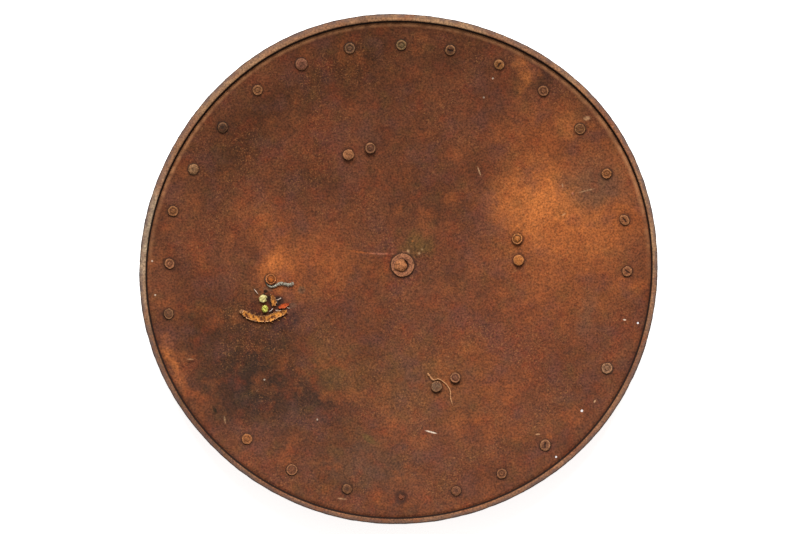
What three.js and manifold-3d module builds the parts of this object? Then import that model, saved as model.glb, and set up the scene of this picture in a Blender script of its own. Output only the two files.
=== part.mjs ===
// Buckler shield of sheet iron, worn and rusted, lying on its front with the wearer's side up.
// Millimetres. +Z points away from the ground, out of the hollow of the shield. The origin is on the
// ground under the middle of the outline, and +Y points to the top of the shield.
import * as THREE from "three";
import { mergeVertices } from "three/addons/utils/BufferGeometryUtils.js";
import Module from "manifold-3d";

// ---- Driving dimensions ----

// The plate: one sheet, dished to a sphere, with its edge rolled inwards over itself.
const OUTLINE_RADIUS = 225;
const DISH_RADIUS = 765;
const SHEET = 1.3;
const BEAD_RADIUS = 3.2;
const BEAD_END_ANGLE = 218;
const CREASE = { from: 215.4, to: 218.2, depth: 1.2 };
const PLATE_SEGMENTS = 56;
const BEAD_STEPS = { outside: 6, inside: 3 };
const PLATE_RINGS = [24, 66, 109, 155, 200];
// The outline is a little oval and a little squarish: share of the radius, and where the crests lie.
const OVAL = { share: 0.0075, turn: 9 };
const SQUARISH = { share: 0.0025, turn: 31 };
// Places where rust has gone right through: radius, angle and width.
const RUST_HOLES = [
  { radius: 202.7, angle: -37.8, width: 2.2 },
  { radius: 214.2, angle: -12.8, width: 1.8 },
  { radius: 214.3, angle: -50.1, width: 1.8 },
];

// The centre rivet: a broad low head in front, on whose flat the shield lies, and a rove behind.
const CENTRE = { x: 1.8, y: 2.8 };
const CENTRE_HEAD = { radius: 22, height: 6.7, footRadius: 13, shoulder: 18.5 };
const CENTRE_SHANK = 4.8;
const CENTRE_ROVE = { radius: 10.75, thickness: 1.8, offX: 1.6, offY: 0.3 };
const CENTRE_PEEN = { radius: 5.9, height: 2.6 };

// The rim rivets: evenly stepped round a ring that sits a little below the middle.
const RIM_PLACES = 28;
const RIM_RING = { radius: 200.2, x: 0, y: -0.95, firstAngle: 89.6 };
const LOST_PLACES = [9, 11, 19, 20];
const STUB_PLACE = 15;
// Rivets that stray from the even ring: place: [degrees anticlockwise, millimetres outwards].
const STRAYS = {
  1: [-0.3, -3.4],
  2: [0, -2.5],
  4: [0, 1.4],
  5: [-0.3, 1],
  6: [-0.5, 0.6],
  7: [0, 2.4],
  10: [0.8, 1.7],
  12: [1.7, 0],
  13: [1.5, 0],
  14: [2.1, 0],
  15: [1, -1.6],
  16: [0, -2.9],
  17: [-2, -1.5],
  18: [-2.9, -1.1],
  21: [-1.6, 4.9],
  22: [-1.1, 0.6],
  23: [-1.3, 4],
  25: [0, -1.8],
  27: [0, -1],
  28: [0, -1.5],
};
const RIM_RIVET = { shank: 2, head: 4.4, headHeight: 1.6, rove: 4.7, roveHeight: 1.3 };
const RIM_PEEN = { radius: 2.2, height: 1 };
const STUB_HEIGHT = 0.8;

// The strap rivets: a pair at each end of two crossed straps. The leather has gone, so each rove
// stands off the plate by the thickness that the strap had.
const STRAP_ENDS = [
  { name: "top", angle: 108.5, radius: 109.2, spread: 5.3, skew: 0.3 },
  { name: "right", angle: 9.1, radius: 106.5, spread: 5, skew: 0.9 },
  { name: "bottom", angle: -67.4, radius: 108.4, spread: 4.8, skew: -0.4 },
  { name: "left", angle: 189.9, radius: 112.4, spread: 5.2, skew: -0.4 },
];
const STRAP_RIVET = { shank: 2.1, head: 5.4, headHeight: 2.2 };
const STRAP_THICKNESS = 2.6;
const STRAP_ROVE = { radius: 5, thickness: 1.4, sinkRadius: 3, sinkDepth: 0.5 };
const STRAP_PEEN = { radius: 2.7, height: 1.1 };
const BROKEN_STRAP_RIVET = "left_a";

// What is left of the leather, near the left strap end.
const STRIP_THICKNESS = 2.2;

const GAP = 0.3;
const SMALL_SIDES = 8;
const HOLE_SIDES = 6;
const CENTRE_SIDES = 14;

// ---- Materials ----

const iron = (name, color) => new THREE.MeshStandardMaterial({ name, color, roughness: 0.85, metalness: 0.3 });
const soft = (name, color) => new THREE.MeshStandardMaterial({ name, color, roughness: 0.9, metalness: 0 });
const RUSTED_SHEET = iron("rusted_sheet_iron", 0x77472d);
const RUSTED_RIVET = iron("rusted_rivet_iron", 0x6a4a36);
const LEATHER = soft("old_leather", 0xc07a30);
const STRAW = soft("straw_cord", 0xc9b26a);
const GREY_CORD = soft("grey_cord", 0x8a8478);
const FIBRE = soft("flax_fibre", 0xd7a573);

// ---- Helpers ----

const wasm = await Module();
wasm.setup();

const radians = THREE.MathUtils.degToRad;

function polar(radius, angle) {
  return [radius * Math.cos(radians(angle)), radius * Math.sin(radians(angle))];
}

function solid(geometry) {
  const bare = geometry.clone();
  bare.deleteAttribute("normal");
  bare.deleteAttribute("uv");
  const merged = mergeVertices(bare, 1e-4);
  const vertProperties = new Float32Array(merged.attributes.position.array);
  const triVerts = new Uint32Array(merged.index.array);
  return new wasm.Manifold(new wasm.Mesh({ numProp: 3, vertProperties, triVerts }));
}

function geometryOf(manifold) {
  const mesh = manifold.getMesh();
  const geometry = new THREE.BufferGeometry();
  geometry.setAttribute("position", new THREE.BufferAttribute(new Float32Array(mesh.vertProperties), 3));
  geometry.setIndex(new THREE.BufferAttribute(new Uint32Array(mesh.triVerts), 1));
  geometry.computeVertexNormals();
  return geometry;
}

function named(name, geometry, material) {
  const mesh = new THREE.Mesh(geometry, material);
  mesh.name = name;
  return mesh;
}

// A closed turned solid about Z, from its outline of [radius, height] pairs, lowest point first.
function turned(outline, sides) {
  const points = outline.map(([r, z]) => new THREE.Vector2(r, z));
  return new THREE.LatheGeometry(points, sides).rotateX(Math.PI / 2);
}

// ---- The dish: its height, its slope and its outline ----

function outOfRound(angle) {
  const oval = OVAL.share * Math.cos(2 * (angle - radians(OVAL.turn)));
  const squarish = SQUARISH.share * Math.cos(4 * (angle - radians(SQUARISH.turn)));
  return 1 + oval + squarish;
}

// Height of the wearer's face at a radius of the round dish, with the crease inside the rolled edge.
function faceAt(radius) {
  const dish = DISH_RADIUS - Math.sqrt(DISH_RADIUS ** 2 - radius ** 2);
  const share = THREE.MathUtils.clamp((radius - CREASE.from) / (CREASE.to - CREASE.from), 0, 1);
  const fall = (CREASE.depth * (1 - Math.cos(Math.PI * share))) / 2;
  return CENTRE_HEAD.height + GAP + SHEET + dish - fall;
}

function faceHeight(x, y) {
  return faceAt(Math.hypot(x, y) / outOfRound(Math.atan2(y, x)));
}

// A group on the wearer's face at x, y, with its Z axis along the plate's normal.
function onFace(x, y) {
  const group = new THREE.Group();
  const height = faceHeight(x, y);
  const up = new THREE.Vector3(-x, -y, Math.sqrt(DISH_RADIUS ** 2 - x * x - y * y)).normalize();
  group.position.set(x, y, height);
  group.quaternion.setFromUnitVectors(new THREE.Vector3(0, 0, 1), up);
  group.updateMatrixWorld(true);
  return group;
}

// ---- The plate ----

function plateOutline() {
  const slopeAt = (radius) => Math.asin(radius / DISH_RADIUS);
  const rings = [...PLATE_RINGS, CREASE.from, (CREASE.from + CREASE.to) / 2, CREASE.to];
  const face = [0, ...rings].map((radius) => [radius, faceAt(radius)]);
  const front = face.map(([radius, height]) => {
    const slope = slopeAt(radius);
    return [radius + SHEET * Math.sin(slope), height - SHEET * Math.cos(slope)];
  });

  // The sheet runs on under the bead, and turns up and over into it.
  const slope = slopeAt(CREASE.to);
  const inside = BEAD_RADIUS - SHEET;
  const beadX = OUTLINE_RADIUS - BEAD_RADIUS;
  const beadZ = faceAt(beadX + inside * Math.sin(slope)) + inside * Math.cos(slope);
  const roll = (radius, steps) => {
    const from = slope - Math.PI / 2;
    const to = radians(BEAD_END_ANGLE);
    return Array.from({ length: steps + 1 }, (_, step) => {
      const angle = from + ((to - from) * step) / steps;
      return [beadX + radius * Math.cos(angle), beadZ + radius * Math.sin(angle)];
    });
  };
  return [
    ...front,
    ...roll(BEAD_RADIUS, BEAD_STEPS.outside),
    ...roll(inside, BEAD_STEPS.inside).reverse(),
    ...face.reverse(),
  ];
}

function plate(cutters) {
  const geometry = turned(plateOutline(), PLATE_SEGMENTS);
  const place = geometry.attributes.position;
  for (let i = 0; i < place.count; i++) {
    const grow = outOfRound(Math.atan2(place.getY(i), place.getX(i)));
    place.setX(i, place.getX(i) * grow);
    place.setY(i, place.getY(i) * grow);
  }
  const whole = solid(geometry);
  return named("shield_plate", geometryOf(whole.subtract(wasm.Manifold.union(cutters))), RUSTED_SHEET);
}

// A plug through the plate, for the hole of a rivet's shank or for a rust hole. Its flats stand at the radius.
function cutter(group, radius, sides) {
  const corner = radius / Math.cos(Math.PI / sides);
  const plug = new THREE.CylinderGeometry(corner, corner, 6 * SHEET, sides).rotateX(Math.PI / 2);
  return solid(plug.applyMatrix4(group.matrixWorld));
}

// ---- Rivets: each outline runs from the front head, through the plate, to the peened end ----

function rivetFront(shank, head, headHeight) {
  const under = -SHEET - GAP;
  return [
    [0, under - headHeight],
    [head, under],
    [shank, under],
  ];
}

function rimRivet(place) {
  const { shank, head, headHeight, rove, roveHeight } = RIM_RIVET;
  const outline = rivetFront(shank, head, headHeight);
  if (place === STUB_PLACE) {
    outline.push([shank, STUB_HEIGHT], [0, STUB_HEIGHT]);
  } else {
    const top = GAP + roveHeight;
    outline.push([shank, GAP], [rove, GAP], [rove, top], [RIM_PEEN.radius, top], [0, top + RIM_PEEN.height]);
  }
  const name = "rim_rivet_" + String(place).padStart(2, "0") + (place === STUB_PLACE ? "_stub" : "");
  return named(name, turned(outline, SMALL_SIDES), RUSTED_RIVET);
}

function rimRivets() {
  const groups = [];
  for (let place = 1; place <= RIM_PLACES; place++) {
    if (LOST_PLACES.includes(place)) continue;
    const [turn, out] = STRAYS[place] ?? [0, 0];
    const angle = RIM_RING.firstAngle - ((place - 1) * 360) / RIM_PLACES + turn;
    const [x, y] = polar(RIM_RING.radius + out, angle);
    const group = onFace(RIM_RING.x + x, RIM_RING.y + y);
    group.add(rimRivet(place));
    groups.push(group);
  }
  return groups;
}

function strapRivet(name) {
  const { shank, head, headHeight } = STRAP_RIVET;
  const outline = rivetFront(shank, head, headHeight);
  if (name.endsWith(BROKEN_STRAP_RIVET)) {
    outline.push([shank, -GAP], [0, -GAP]);
  } else {
    const under = STRAP_THICKNESS + STRAP_ROVE.thickness + GAP;
    outline.push([shank, under], [STRAP_PEEN.radius, under]);
    outline.push([0.8 * STRAP_PEEN.radius, under + STRAP_PEEN.height], [0, under + STRAP_PEEN.height]);
  }
  return named(name, turned(outline, SMALL_SIDES), RUSTED_RIVET);
}

// A flat washer, countersunk where the rivet is peened over it.
function strapRove(name) {
  const hole = STRAP_RIVET.shank + GAP;
  const top = STRAP_THICKNESS + STRAP_ROVE.thickness;
  const ring = [
    [hole, STRAP_THICKNESS],
    [STRAP_ROVE.radius, STRAP_THICKNESS],
    [STRAP_ROVE.radius, top],
    [STRAP_ROVE.sinkRadius, top],
    [hole, top - STRAP_ROVE.sinkDepth],
    [hole, STRAP_THICKNESS],
  ];
  return named(name, turned(ring, SMALL_SIDES), RUSTED_RIVET);
}

function strapRivets() {
  const groups = [];
  for (const end of STRAP_ENDS) {
    for (const [letter, side] of [["a", 1], ["b", -1]]) {
      const key = end.name + "_" + letter;
      const [x, y] = polar(end.radius + side * end.skew, end.angle + side * end.spread);
      const group = onFace(x, y);
      group.add(strapRivet("strap_rivet_" + key));
      if (key !== BROKEN_STRAP_RIVET) group.add(strapRove("strap_rove_" + key));
      groups.push(group);
    }
  }
  return groups;
}

function centreRivet() {
  const group = new THREE.Group();
  const face = faceHeight(CENTRE.x, CENTRE.y);
  group.position.set(CENTRE.x, CENTRE.y, 0);
  group.updateMatrixWorld(true);

  const roveTop = face + GAP + CENTRE_ROVE.thickness;
  const peenUnder = roveTop + GAP;
  const peenTop = peenUnder + CENTRE_PEEN.height;
  const rivet = turned(
    [
      [0, 0],
      [CENTRE_HEAD.footRadius, 0],
      [CENTRE_HEAD.shoulder, 0.35 * CENTRE_HEAD.height],
      [CENTRE_HEAD.radius, CENTRE_HEAD.height],
      [CENTRE_SHANK, CENTRE_HEAD.height],
      [CENTRE_SHANK, peenUnder],
      [CENTRE_PEEN.radius, peenUnder],
      [CENTRE_PEEN.radius, peenUnder + 0.6 * CENTRE_PEEN.height],
      [0.7 * CENTRE_PEEN.radius, peenTop],
      [0, peenTop],
    ],
    CENTRE_SIDES,
  );
  const disc = new THREE.CylinderGeometry(
    CENTRE_ROVE.radius,
    CENTRE_ROVE.radius,
    CENTRE_ROVE.thickness,
    CENTRE_SIDES,
  );
  disc.rotateX(Math.PI / 2).translate(CENTRE_ROVE.offX, CENTRE_ROVE.offY, roveTop - CENTRE_ROVE.thickness / 2);
  const bore = new THREE.CylinderGeometry(CENTRE_SHANK + GAP, CENTRE_SHANK + GAP, 4 * roveTop, CENTRE_SIDES);
  const rove = geometryOf(solid(disc).subtract(solid(bore.rotateX(Math.PI / 2))));
  group.add(named("centre_rivet", rivet, RUSTED_RIVET), named("centre_rove", rove, RUSTED_RIVET));
  return group;
}

// ---- Remnants of strap and cord ----

// A flat shred: a line of [x, y, half width] stations, smoothed, and given a thickness.
function shred(stations, thickness, steps) {
  const middle = new THREE.SplineCurve(stations.map(([x, y]) => new THREE.Vector2(x, y)));
  const widths = new THREE.SplineCurve(stations.map((s, i) => new THREE.Vector2(i, s[2])));
  const side = (sign) =>
    Array.from({ length: steps + 1 }, (_, step) => {
      const t = step / steps;
      const along = middle.getTangent(t);
      const half = sign * widths.getPoint(t).y;
      return middle.getPoint(t).add(new THREE.Vector2(-along.y, along.x).multiplyScalar(half));
    });
  const shape = new THREE.Shape([...side(1), ...side(-1).reverse()]);
  return new THREE.ExtrudeGeometry(shape, { depth: thickness, bevelEnabled: false, steps: 1 });
}

function lump(width, length, height) {
  const ball = new THREE.IcosahedronGeometry(1, 1);
  return ball.scale(width / 2, length / 2, height / 2).translate(0, 0, height / 2);
}

// Each remnant rests on the dish at its own place, clear of the rise of the plate round it.
function remnant(name, geometry, material, x, y, lift) {
  const group = onFace(x, y);
  const mesh = named(name, geometry, material);
  mesh.position.z = lift;
  group.add(mesh);
  return group;
}

function remnants() {
  const strip = [
    [-19.4, 5.6, 1.6],
    [-15.8, 2.4, 2.5],
    [-8.7, -0.4, 2.6],
    [-1.6, -1, 2.7],
    [4.4, -0.5, 2.7],
    [9, 1.8, 2.9],
    [15, 4, 2.4],
    [20, 5.6, 1.4],
  ];
  const upright = [
    [0, -4.4, 1.6],
    [-0.6, 0, 2.4],
    [-1.6, 4.8, 1.2],
  ];
  const slanting = [
    [-4.4, -1.4, 1.2],
    [0, 0, 2],
    [4.6, 1.6, 1.1],
  ];
  return [
    remnant("strap_leather_strip", shred(strip, STRIP_THICKNESS, 14), LEATHER, -118, -43, 3 * GAP),
    remnant("strap_leather_shred_a", shred(upright, 3, 4), LEATHER, -109.6, -28.4, 2 * GAP),
    remnant("strap_leather_shred_b", shred(slanting, 2.8, 4), LEATHER, -101.2, -32.6, 2 * GAP),
    remnant("straw_knot_upper", lump(8, 8, 4.2), STRAW, -119.3, -26.4, 2 * GAP),
    remnant("straw_knot_lower", lump(6, 7.4, 3.6), STRAW, -117.6, -35.2, 2 * GAP),
  ];
}

// A thin tube through points of [x, y, height above the wearer's face].
function strand(name, route, radius, steps, material) {
  const points = route.map(([x, y, lift]) => new THREE.Vector3(x, y, faceHeight(x, y) + lift));
  const section = new THREE.Shape(
    Array.from({ length: SMALL_SIDES }, (_, i) => new THREE.Vector2(...polar(radius, (360 * i) / SMALL_SIDES))),
  );
  const extrudePath = new THREE.CatmullRomCurve3(points, false, "centripetal");
  return named(name, new THREE.ExtrudeGeometry(section, { steps, extrudePath, bevelEnabled: false }), material);
}

// The grey cord starts beside the left strap rivet's shank, under its rove, and runs out to the right.
const GREY_CORD_RADIUS = 0.9;
const GREY_CORD_ROUTE = [
  [-115.7, -5.9, 1.3],
  [-116.5, -7.6, 1.3],
  [-116.7, -9.6, 1.3],
  [-116.3, -11.7, 1.3],
  [-115.2, -13.8, 1.3],
  [-113.4, -15.2, 1.3],
  [-111.2, -15.8, 1.3],
  [-109, -15.4, 1.4],
  [-107, -14.3, 1.5],
  [-104.8, -13.2, 1.5],
  [-102.4, -12.9, 1.4],
  [-99.8, -13.4, 1.3],
  [-97.2, -14, 1.3],
  [-94.6, -13.7, 1.3],
  [-92.2, -12.9, 1.3],
];

// The flax fibre lies on the plate, caught against the rove of a bottom strap rivet.
const FIBRE_RADIUS = 0.5;
const FIBRE_ROUTE = [
  [25.2, -91.8, 1.1],
  [26.6, -93.4, 1],
  [28, -95.3, 0.9],
  [29.4, -97, 0.9],
  [31, -97.7, 1],
  [32.7, -97.1, 1.2],
  [34.6, -96.7, 1.3],
  [36.7, -97.5, 1.2],
  [38.6, -98.8, 1],
  [40.6, -100.4, 0.9],
  [42.6, -102.5, 0.9],
  [44.4, -105.2, 0.9],
  [45.4, -108.2, 0.9],
  [45.4, -111.3, 0.9],
  [45.7, -114.2, 0.9],
  [46.6, -117.1, 0.9],
  [47.2, -120.2, 0.9],
];

// ---- Assembly ----

const shield = new THREE.Group();
const rims = rimRivets();
const straps = strapRivets();
const centre = centreRivet();
const cutters = [
  ...rims.map((group) => cutter(group, RIM_RIVET.shank + GAP, HOLE_SIDES)),
  ...straps.map((group) => cutter(group, STRAP_RIVET.shank + GAP, HOLE_SIDES)),
  ...RUST_HOLES.map((hole) => cutter(onFace(...polar(hole.radius, hole.angle)), hole.width / 2, HOLE_SIDES)),
];
cutters.push(cutter(onFace(CENTRE.x, CENTRE.y), CENTRE_SHANK + GAP, CENTRE_SIDES));
shield.add(plate(cutters), ...rims, ...straps, centre, ...remnants());
shield.add(strand("grey_cord", GREY_CORD_ROUTE, GREY_CORD_RADIUS, 12, GREY_CORD));
shield.add(strand("flax_fibre", FIBRE_ROUTE, FIBRE_RADIUS, 14, FIBRE));

export default shield;
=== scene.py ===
import math

import bmesh
import bpy
from mathutils import Matrix, Quaternion, Vector, noise


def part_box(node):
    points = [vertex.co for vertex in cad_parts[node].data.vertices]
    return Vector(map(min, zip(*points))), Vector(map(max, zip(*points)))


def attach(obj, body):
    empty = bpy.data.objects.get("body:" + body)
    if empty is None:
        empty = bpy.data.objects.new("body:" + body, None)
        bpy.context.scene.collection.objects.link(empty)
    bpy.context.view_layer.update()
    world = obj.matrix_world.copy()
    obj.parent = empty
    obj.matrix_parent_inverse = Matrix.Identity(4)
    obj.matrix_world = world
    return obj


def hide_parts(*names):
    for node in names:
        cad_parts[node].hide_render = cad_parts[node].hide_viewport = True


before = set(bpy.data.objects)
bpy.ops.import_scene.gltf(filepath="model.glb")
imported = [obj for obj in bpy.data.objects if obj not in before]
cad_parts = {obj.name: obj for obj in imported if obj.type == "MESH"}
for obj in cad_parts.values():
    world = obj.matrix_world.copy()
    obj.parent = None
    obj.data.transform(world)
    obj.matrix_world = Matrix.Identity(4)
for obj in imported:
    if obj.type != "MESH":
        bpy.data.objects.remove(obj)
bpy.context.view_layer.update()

# ---- The plate ------------------------------------------------------------------------------
# One disc of sheet iron, dished cold with a hammer, with its edge rolled inwards over itself to a
# bead. It carries every other piece. Rust covers both faces, and has gone right through at three
# places near the rim.

MM = 0.001
SHEET = 1.3
OUTLINE_RADIUS = 225
DISH_RADIUS = 765
BEAD_RADIUS = 3.2
BEAD_END_ANGLE = math.radians(218)
CREASE_FROM = 215.4
CREASE_TO = 218.2
CREASE_DEPTH = 1.2
FACE_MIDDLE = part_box("shield_plate")[0].z / MM + SHEET

# The outline is a little oval and a little squarish, and wanders in five shallow waves.
OVAL, OVAL_TURN = 0.0075, math.radians(9)
SQUARISH, SQUARISH_TURN = 0.0025, math.radians(31)
WAVE, WAVE_TURN = 0.0027, math.radians(-30.7)
WAVE_FROM, WAVE_OVER = 190, 35
# One stretch of the bead was sprung outwards, and its inner lip runs nearer or further from the rim.
BULGE, BULGE_AT, BULGE_SPREAD = 0.0045, math.radians(22), math.radians(42)
LIP_MEAN, LIP_OVAL, LIP_SIDE = 0.62, 0.58, 0.94
LIP_OVAL_TURN, LIP_SIDE_TURN = math.radians(68), math.radians(60)
LIP_FROM, LIP_RISE, LIP_TO, LIP_FALL = 205, 10, 222, 3

# Rings of the mesh. Each ring has SIDES_PER_RING more points round it than the one inside it.
SIDES_PER_RING = 6
FACE_RINGS = 136
FRONT_RINGS = 68
CREASE_STEPS = 4
ROLL_STEPS_OUTSIDE = 20
ROLL_SQUARENESS = 0.62
ROLL_STEPS_INSIDE = 6
FACE_ZONE, BEAD_ZONE, FRONT_ZONE = 0, 1, 2

# Places where rust has gone right through: radius, angle in degrees, and width.
RUST_HOLES = [(202.7, -37.8, 2.2), (214.2, -12.8, 1.8), (214.3, -50.1, 1.8)]


def out_of_round(angle):
    oval = OVAL * math.cos(2 * (angle - OVAL_TURN))
    squarish = SQUARISH * math.cos(4 * (angle - SQUARISH_TURN))
    return 1 + oval + squarish


def face_at(radius):
    """Height of the wearer's face at a radius of the round dish, with the crease inside the bead."""
    share = min(max((radius - CREASE_FROM) / (CREASE_TO - CREASE_FROM), 0), 1)
    fall = CREASE_DEPTH * (1 - math.cos(math.pi * share)) / 2
    return FACE_MIDDLE + DISH_RADIUS - math.sqrt(DISH_RADIUS**2 - radius**2) - fall


def face_height(x, y):
    return face_at(math.hypot(x, y) / out_of_round(math.atan2(y, x)))


def on_face(x, y, twist=0):
    """The frame at x, y on the wearer's face: Z along the plate's normal, turned by twist degrees."""
    up = Vector((-x, -y, math.sqrt(DISH_RADIUS**2 - x * x - y * y)))
    facing = Vector((0, 0, 1)).rotation_difference(up) @ Quaternion((0, 0, 1), math.radians(twist))
    return Matrix.Translation((x, y, face_height(x, y))) @ facing.to_matrix().to_4x4()


def mesh_object(name, points, faces):
    """A new object at the origin, from points in millimetres, with its faces turned outwards."""
    mesh = bpy.data.meshes.new(name)
    mesh.from_pydata([Vector(p) * MM for p in points], [], faces)
    work = bmesh.new()
    work.from_mesh(mesh)
    bmesh.ops.recalc_face_normals(work, faces=work.faces)
    work.to_mesh(mesh)
    work.free()
    obj = bpy.data.objects.new(name, mesh)
    bpy.context.scene.collection.objects.link(obj)
    return obj


def stitch(inner, outer):
    """Triangles between two closed rings of point numbers that start at the same angle."""
    n, m = len(inner), len(outer)
    faces = []
    i = j = 0
    while i < n or j < m:
        if i < n and (j >= m or (i + 1) * m <= (j + 1) * n):
            if n > 1:
                faces.append((inner[i], inner[(i + 1) % n], outer[j % m]))
            i += 1
        else:
            faces.append((inner[i % n], outer[(j + 1) % m], outer[j]))
            j += 1
    return faces


def squared(part):
    """The bead was hammered down, so its section is between a circle and a square."""
    return math.copysign(abs(part) ** ROLL_SQUARENESS, part)


def plate_rows():
    """The plate's section as rows of (radius, height, points round, zone), from pole to pole."""
    count = SIDES_PER_RING * FACE_RINGS
    rows = []
    for ring in range(FACE_RINGS + 1):
        radius = CREASE_FROM * ring / FACE_RINGS
        rows.append((radius, face_at(radius), SIDES_PER_RING * ring, FACE_ZONE))
    for step in range(1, CREASE_STEPS + 1):
        radius = CREASE_FROM + (CREASE_TO - CREASE_FROM) * step / CREASE_STEPS
        rows.append((radius, face_at(radius), count, FACE_ZONE))

    slope = math.asin(CREASE_TO / DISH_RADIUS)
    inside = BEAD_RADIUS - SHEET
    bead_x = OUTLINE_RADIUS - BEAD_RADIUS
    bead_z = face_at(bead_x + inside * math.sin(slope)) + inside * math.cos(slope)
    start = slope - math.pi / 2
    turn = BEAD_END_ANGLE - start
    for step in range(ROLL_STEPS_INSIDE + 1):
        angle = start + turn * step / ROLL_STEPS_INSIDE
        rows.append((bead_x + inside * math.cos(angle), bead_z + inside * math.sin(angle), count, BEAD_ZONE))
    for step in range(ROLL_STEPS_OUTSIDE + 1):
        angle = BEAD_END_ANGLE - turn * step / ROLL_STEPS_OUTSIDE
        across, up = (squared(part) for part in (math.cos(angle), math.sin(angle)))
        rows.append((bead_x + BEAD_RADIUS * across, bead_z + BEAD_RADIUS * up, count, BEAD_ZONE))

    for ring in range(FRONT_RINGS, -1, -1):
        radius = CREASE_FROM * ring / FRONT_RINGS
        tilt = math.asin(radius / DISH_RADIUS)
        height = face_at(radius) - SHEET * math.cos(tilt)
        reach = radius + SHEET * math.sin(tilt)
        rows.append((reach, height, SIDES_PER_RING * ring, FRONT_ZONE))
    return rows


def lip_shift(radius, angle):
    """How far out, in millimetres, the bead's inner lip and the crease have moved."""
    rise = min(max((radius - LIP_FROM) / LIP_RISE, 0), 1)
    fall = min(max((LIP_TO - radius) / LIP_FALL, 0), 1)
    oval = LIP_OVAL * math.cos(2 * angle - LIP_OVAL_TURN)
    side = LIP_SIDE * math.cos(angle + LIP_SIDE_TURN)
    return rise * fall * (LIP_MEAN + oval + side)


def plate_blank():
    """The smooth plate. Its points carry 'edge', the radius before the outline went out of round."""
    points, faces, zones, edge = [], [], [], []
    last = None
    for radius, height, count, zone in plate_rows():
        ring = []
        for i in range(max(count, 1)):
            angle = math.tau * i / max(count, 1)
            share = min(max((radius - WAVE_FROM) / WAVE_OVER, 0), 1)
            turned = math.remainder(angle - BULGE_AT, math.tau)
            bulge = BULGE * math.exp(-((turned / BULGE_SPREAD) ** 2))
            wave = share * (WAVE * math.cos(5 * (angle - WAVE_TURN)) + bulge)
            reach = radius * (out_of_round(angle) + wave) + lip_shift(radius, angle)
            ring.append(len(points))
            points.append((reach * math.cos(angle), reach * math.sin(angle), height))
            edge.append(radius)
        if last:
            made = stitch(last, ring) if len(last) <= len(ring) else stitch(ring, last)
            faces += made
            zones += [zone] * len(made)
        last = ring
    obj = mesh_object("shield_plate_skin", points, faces)
    obj.data.attributes.new("zone", "INT", "FACE").data.foreach_set("value", zones)
    obj.data.attributes.new("edge", "FLOAT", "POINT").data.foreach_set("value", edge)
    return obj


def linear(code):
    """An sRGB hex colour as linear red, green, blue and alpha."""
    parts = [int(code[i : i + 2], 16) / 255 for i in (1, 3, 5)]
    return [c / 12.92 if c <= 0.04045 else ((c + 0.055) / 1.055) ** 2.4 for c in parts] + [1]


def add(tree, kind, links=(), **settings):
    """Adds a node. links gives inputs, by name or number, a value or another node's output."""
    made = tree.nodes.new(kind)
    for name, value in settings.items():
        setattr(made, name, value)
    for key, value in dict(links).items():
        if isinstance(value, bpy.types.NodeSocket):
            tree.links.new(value, made.inputs[key])
        else:
            made.inputs[key].default_value = value
    return made


# A colour Mix node's sockets: factor, the two colours, and the result. In a Map Range node, 0 is
# the value, 1 and 2 the range it is read over, and 3 and 4 what that range turns into.
FACTOR, FIRST, SECOND, MIXED = 0, 6, 7, 2
PER_MM = (1 / MM,) * 3
IN_PLAN = (1, 1, 0)
HALF = (0.5,) * 3


def new_tree(name, sizes, others):
    """A Geometry Nodes tree with named inputs: sizes as numbers, then others as (name, socket type)."""
    tree = bpy.data.node_groups.new(name, "GeometryNodeTree")
    tree.interface.new_socket("Geometry", in_out="OUTPUT", socket_type="NodeSocketGeometry")
    tree.interface.new_socket("Geometry", in_out="INPUT", socket_type="NodeSocketGeometry")
    for size in sizes:
        tree.interface.new_socket(size, in_out="INPUT", socket_type="NodeSocketFloat")
    for other, kind in others:
        tree.interface.new_socket(other, in_out="INPUT", socket_type=kind)
    return tree, tree.nodes.new("NodeGroupInput").outputs


def use_tree(obj, tree, values):
    """Puts the tree on obj, with its named inputs set by their identifiers."""
    modifier = obj.modifiers.new(tree.name, "NODES")
    modifier.node_group = tree
    for item in tree.interface.items_tree:
        if item.in_out == "INPUT" and item.name in values:
            modifier[item.identifier] = values[item.name]


def settle(obj, sharp):
    """Turns obj and its modifiers into one plain mesh, smooth up to an angle of sharp degrees."""
    bpy.context.view_layer.update()
    evaluated = obj.evaluated_get(bpy.context.evaluated_depsgraph_get())
    mesh = bpy.data.meshes.new_from_object(evaluated)
    obj.modifiers.clear()
    obj.data = mesh
    mesh.shade_smooth()
    mesh.set_sharp_from_angle(angle=math.radians(sharp))
    return obj


# Rust tones, from the powdery orange of fresh rust to the black of old scale.
RUST = {
    "golden": "#B26530",
    "fleck": "#A0683C",
    "orange": "#8E4B23",
    "red": "#6E2F18",
    "umber": "#41230F",
    "black": "#2A1C14",
    "painted_hollow_shade": "#0C0604",
    # Near black, painted as the shade in hollows and in the cavities between the strap's remains.
    "olive": "#55411F",
    "grey": "#5A4230",
    "tan": "#A8835F",
    "beige": "#A8957A",
    "plum": "#55332C",
    "pale": "#C79C72",
    "chalk": "#E6D3BC",
    "pink": "#A8674C",
}

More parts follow.
